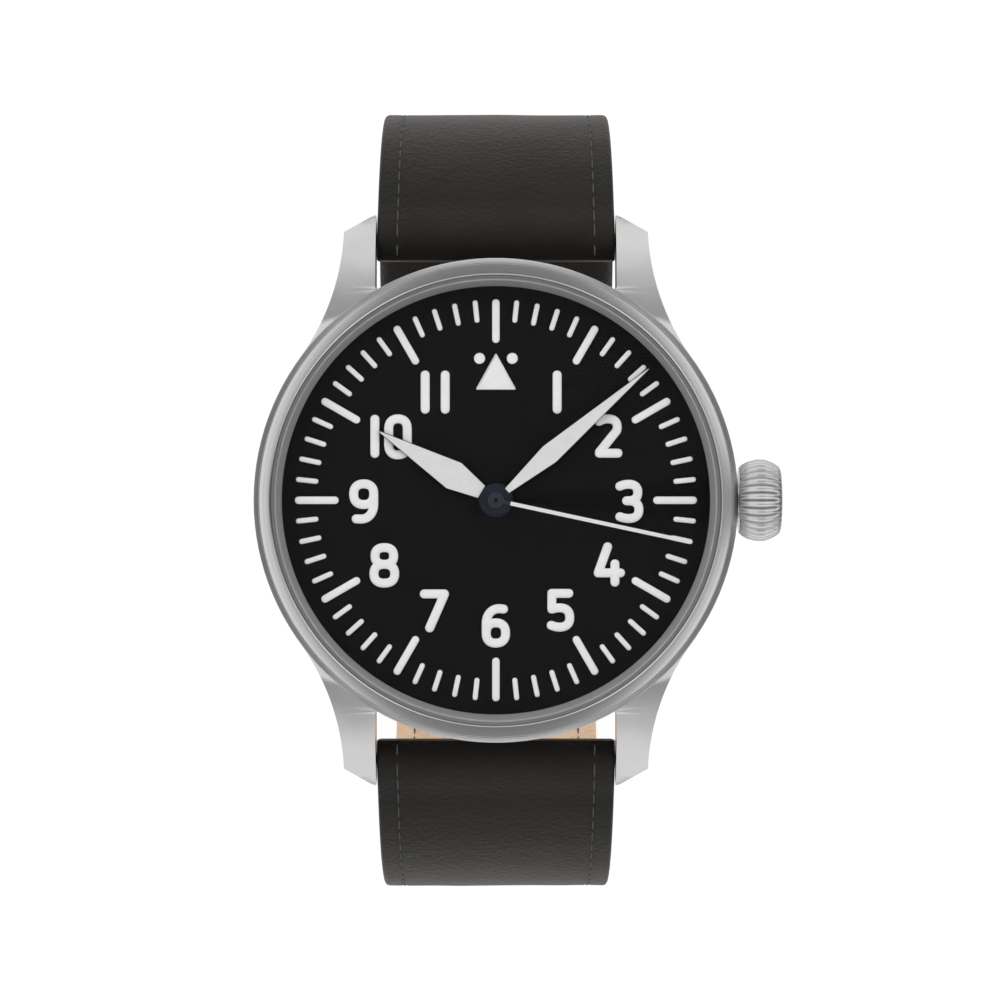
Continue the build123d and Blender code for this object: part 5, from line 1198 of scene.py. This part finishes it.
# Stitches: waxed grey thread in straight rows near both edges of each half, sunk in a
# groove outside and lying flat on the lining, where each stitch dips into its holes.
stitch_pitch = 1.6
stitch_length = 1.42
stitch_thick = 0.16
stitch_start = 0.4
stitch_sink = 0.02
stitch_least = 0.3
stitch_thread = speckled(
    "stitch_thread", {"Roughness": 0.6, "Specular IOR Level": 0.35}, (0.022, 0.026, 0.028, 1),
    (0.08, 0.09, 0.094, 1), (6500.0,), None, 0.5, 0.03)


def seam_tree():
    """Geometry tree that lays one stitch after another along each path."""
    tree, given, end = new_group("stitches_along_seam", "GeometryNodeTree", (
        ("Geometry", "Geometry"), ("Pitch", "Float"), ("Length", "Float"), ("Thickness", "Float"),
        ("Material", "Material")), (("Geometry", "Geometry"),))
    seam = wire(tree, "GeometryNodeMeshToCurve", {"Mesh": given["Geometry"]}).outputs[0]
    even = wire(tree, "GeometryNodeResampleCurve", {"Curve": seam, "Length": given["Pitch"]}, mode="LENGTH")
    heading = wire(tree, "GeometryNodeInputTangent").outputs[0]
    turned = wire(tree, "FunctionNodeAlignRotationToVector", {"Vector": heading}, axis="X").outputs[0]
    size = wire(tree, "ShaderNodeCombineXYZ", {
        0: given["Length"], 1: given["Thickness"], 2: given["Thickness"]}).outputs[0]
    thread = wire(tree, "GeometryNodeMeshUVSphere", {"Segments": 8, "Rings": 6, "Radius": 0.5}).outputs[0]
    placed = wire(tree, "GeometryNodeInstanceOnPoints", {
        "Points": even.outputs[0], "Instance": thread, "Rotation": turned, "Scale": size}).outputs[0]
    real = wire(tree, "GeometryNodeRealizeInstances", {"Geometry": placed}).outputs[0]
    smooth = wire(tree, "GeometryNodeSetShadeSmooth", {"Geometry": real}).outputs[0]
    feed(end, {0: wire(tree, "GeometryNodeSetMaterial", {
        "Geometry": smooth, "Material": given["Material"]}).outputs[0]})
    return tree


stitches_along_seam = seam_tree()


def seam_path(stations, lengths, face, width, side, start, end):
    """Path of one row of stitches on a face of the strap."""
    path = []
    for (place, out), length in zip(stations, lengths):
        across = width(length, place) - stitch_inset
        if start <= length <= end and across > stitch_least:
            level = face(length, side * across)
            path.append((side * across, place[0] + out[0] * level, place[1] + out[1] * level))
    return path


def stitch_rows(name, stations, lengths, outer, width, seed, end, under_end):
    """Piece with the four rows of a half: two in the grooves outside and two on the lining."""
    def over(length, across):
        return outer(length) - stitch_groove + wrinkles(length, across, seed) + stitch_sink

    def under(length, across):
        return -lining_t - stitch_sink

    points = []
    edges = []
    for side in (-1, 1):
        for path in (seam_path(stations, lengths, over, width, side, stitch_start, end),
                     seam_path(stations, lengths, under, width, side, roll + roll_out, under_end)):
            edges.extend((len(points) + step, len(points) + step + 1) for step in range(len(path) - 1))
            points.extend(path)
    mesh = bpy.data.meshes.new(name)
    mesh.from_pydata([tuple(value * mm for value in point) for point in points], edges, [])
    rows = shown(name, mesh)
    grown(rows, stitches_along_seam, {
        "Pitch": stitch_pitch * mm, "Length": stitch_length * mm, "Thickness": stitch_thick * mm,
        "Material": stitch_thread})
    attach(rows, "root")


stitch_rows("short_stitches", short_stations, short_lengths, short_outer, plain_width, short_seed,
            short_total - roll, short_total - roll - roll_out)
stitch_rows("long_stitches", long_stations, long_lengths, long_outer, long_width, long_seed,
            long_total, long_total)


# Keepers: two loops of the same leather that hold the strap's tail, one fixed by the
# buckle and one that slides along the layers.
keeper_reach = 9.55
keeper_wall = 1.2
keeper_inner_wall = 0.9
keeper_low = 21.7
keeper_high = 29.75
keeper_half_length = 2.5
keeper_corner = 0.9
keeper_ease = 0.3
keeper_spacing = 0.6
fixed_middle = 5.0
sliding_middle = radians(34.6 - 90)


def oblong(half, low, high):
    """Corners of an oblong."""
    return [(-half, low), (half, low), (half, high), (-half, high)]


def keeper_loop(place):
    """Points and faces of a loop round both layers; place turns (x, along, out) into a point."""
    middle_low = keeper_low + keeper_inner_wall / 2
    middle_high = keeper_high - keeper_wall / 2
    side = keeper_reach + keeper_wall / 2
    centre_line = np.array(eased(oblong(side, middle_low, middle_high), keeper_corner, 6))
    dense = []
    for spot, after in zip(centre_line, np.roll(centre_line, -1, 0)):
        count = max(1, round(np.hypot(*(after - spot)) / keeper_spacing))
        dense.extend(spot + (after - spot) * (step / count) for step in range(count))
    dense = np.array(dense)
    ahead = headings(dense)
    outwards = np.stack((ahead[:, 1], -ahead[:, 0]), 1)
    section = eased(oblong(keeper_half_length, -0.5, 0.5), keeper_ease)
    points = []
    for spot, out in zip(dense, outwards):
        wall = keeper_inner_wall if spot[1] < middle_low + 0.5 else keeper_wall
        for along, level in section:
            moved = spot + out * level * wall
            points.append(place(moved[0], along, moved[1]))
    return points, ring_faces(len(dense), len(section))


def fixed_place(across, along, out):
    """Place on the flat stretch by the buckle."""
    return (across, fixed_middle + along, wrist[1] - out)


def sliding_place(across, along, out):
    """Place on the tail's bend."""
    angle = sliding_middle + along / tail_radius
    return (across, wrist[0] + out * cos(angle), wrist[1] + out * sin(angle))


for name, place, node, body in (("fixed_loop", fixed_place, "fixed_keeper", "root"),
                                ("sliding_loop", sliding_place, "sliding_keeper", "sliding_keeper")):
    loop = new_piece(name, *keeper_loop(place), leather_black, leather_sharp)
    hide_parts(node)
    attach(loop, body)


# Spring bars, buckle, tongue and pin: plain steel, tumbled smooth.
bright_steel = blasted_metal("bright_steel", (0.60, 0.61, 0.62, 1), 0.24)
for name in ("spring_bars", "buckle_frame", "buckle_tongue", "buckle_pin", "crown_tube", "back_ring"):
    finish_node(name, bright_steel, 0.06)


# Case back and movement: brass wheels, steel arbors and nickel plates with blued screws
# and red jewels, held by a black plastic ring and seen through the glass back.
brass_colour = (0.78, 0.57, 0.27, 1)
arbor_colour = (0.55, 0.56, 0.58, 1)
stripe_width = 1.5
wheel_ease = 0.015
arbor_reaches = {"centre_wheel": 1.1, "third_wheel": 0.75, "fourth_wheel": 0.75, "balance_wheel": 0.55,
                 "minute_wheel": 0.8, "hour_wheel": 0.0}


def striped_metal(name, colour, roughness):
    """Nickel plate with the straight ground stripes of a finished bridge."""
    finish = blasted_metal(name, colour, roughness)
    tree = finish.node_tree
    shader = tree.nodes["Principled BSDF"]
    plain = shader.inputs["Base Color"].links[0].from_socket
    bands = wire(tree, "ShaderNodeTexWave", {
        "Vector": object_place(tree), "Scale": pi / (10 * stripe_width * mm),
    }, wave_profile="SAW").outputs["Fac"]
    feed(shader, {
        "Base Color": scaled_colour(tree, plain, ranged(tree, bands, after=(0.72, 1.08))),
        "Normal": bumped(tree, bands, 0.35, 0.04)})
    return finish


def wheel_metal(node, arbor_reach):
    """Brass wheel on a steel arbor; an arbor that stands over the dial has a dark tip."""
    low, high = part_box(node)
    finish, tree, shader = new_finish(node + "_metal", {"Metallic": 1.0})
    grain = wire(tree, "ShaderNodeGroup", {
        "Colour": brass_colour, "Roughness": 0.26}, node_tree=metal_grain).outputs
    place = object_place(tree)
    apart = wire(tree, "ShaderNodeVectorMath", {
        0: place, 1: ((low.x + high.x) / 2, (low.y + high.y) / 2, 0)}, operation="SUBTRACT").outputs[0]
    core = reckoned(tree, "LESS_THAN", reach_of(tree, apart), arbor_reach * mm)
    tip = reckoned(tree, "GREATER_THAN", axes_of(tree, place)["Z"], dial_top)
    steel = mixed(tree, tip, arbor_colour, (0.012, 0.013, 0.02, 1))
    feed(shader, {"Base Color": mixed(tree, core, grain["Colour"], steel), "Roughness": grain["Roughness"]})
    return finish


finish_node("back_glass", clear_glass("back_glass_clear", 1.3), 0)
finish_node("back_seal", seal_rubber, 0)
finish_node("movement_ring", speckled(
    "holder_plastic", {"Specular IOR Level": 0.4}, (0.04, 0.04, 0.044, 1), (0.06, 0.06, 0.066, 1),
    (7000.0,), (0.42, 0.58), 0.1), 0.05)
finish_node("jewels", speckled(
    "jewel_red", {"Coat Weight": 0.6}, (0.42, 0.006, 0.035, 1), (0.66, 0.014, 0.065, 1),
    (2500.0,), (0.05, 0.12), 0.1), 0.02)
finish_node("bridge_screws", blasted_metal("screw_blue", (0.03, 0.06, 0.25, 1), 0.22), 0.02)
nickel = striped_metal("movement_nickel", (0.62, 0.60, 0.56, 1), 0.3)
for name in ("main_plate", "barrel_bridge", "train_bridge", "balance_cock", "pallet_bridge"):
    finish_node(name, nickel, 0.05)
brass = blasted_metal("wheel_brass", brass_colour, 0.28)
for name in ("barrel_drum", "barrel_cover"):
    finish_node(name, brass, wheel_ease)
for name, arbor_reach in arbor_reaches.items():
    finish_node(name, wheel_metal(name, arbor_reach), wheel_ease)
arbor_steel = blasted_metal("movement_steel", arbor_colour, 0.2)
for name in ("winding_stem", "winding_pinion", "sliding_pinion", "crown_wheel", "ratchet_wheel",
             "ratchet_screw", "click", "barrel_arbor", "mainspring", "escape_wheel", "pallet_fork",
             "hairspring", "cannon_pinion", "setting_wheel", "setting_lever", "yoke"):
    finish_node(name, arbor_steel, wheel_ease)
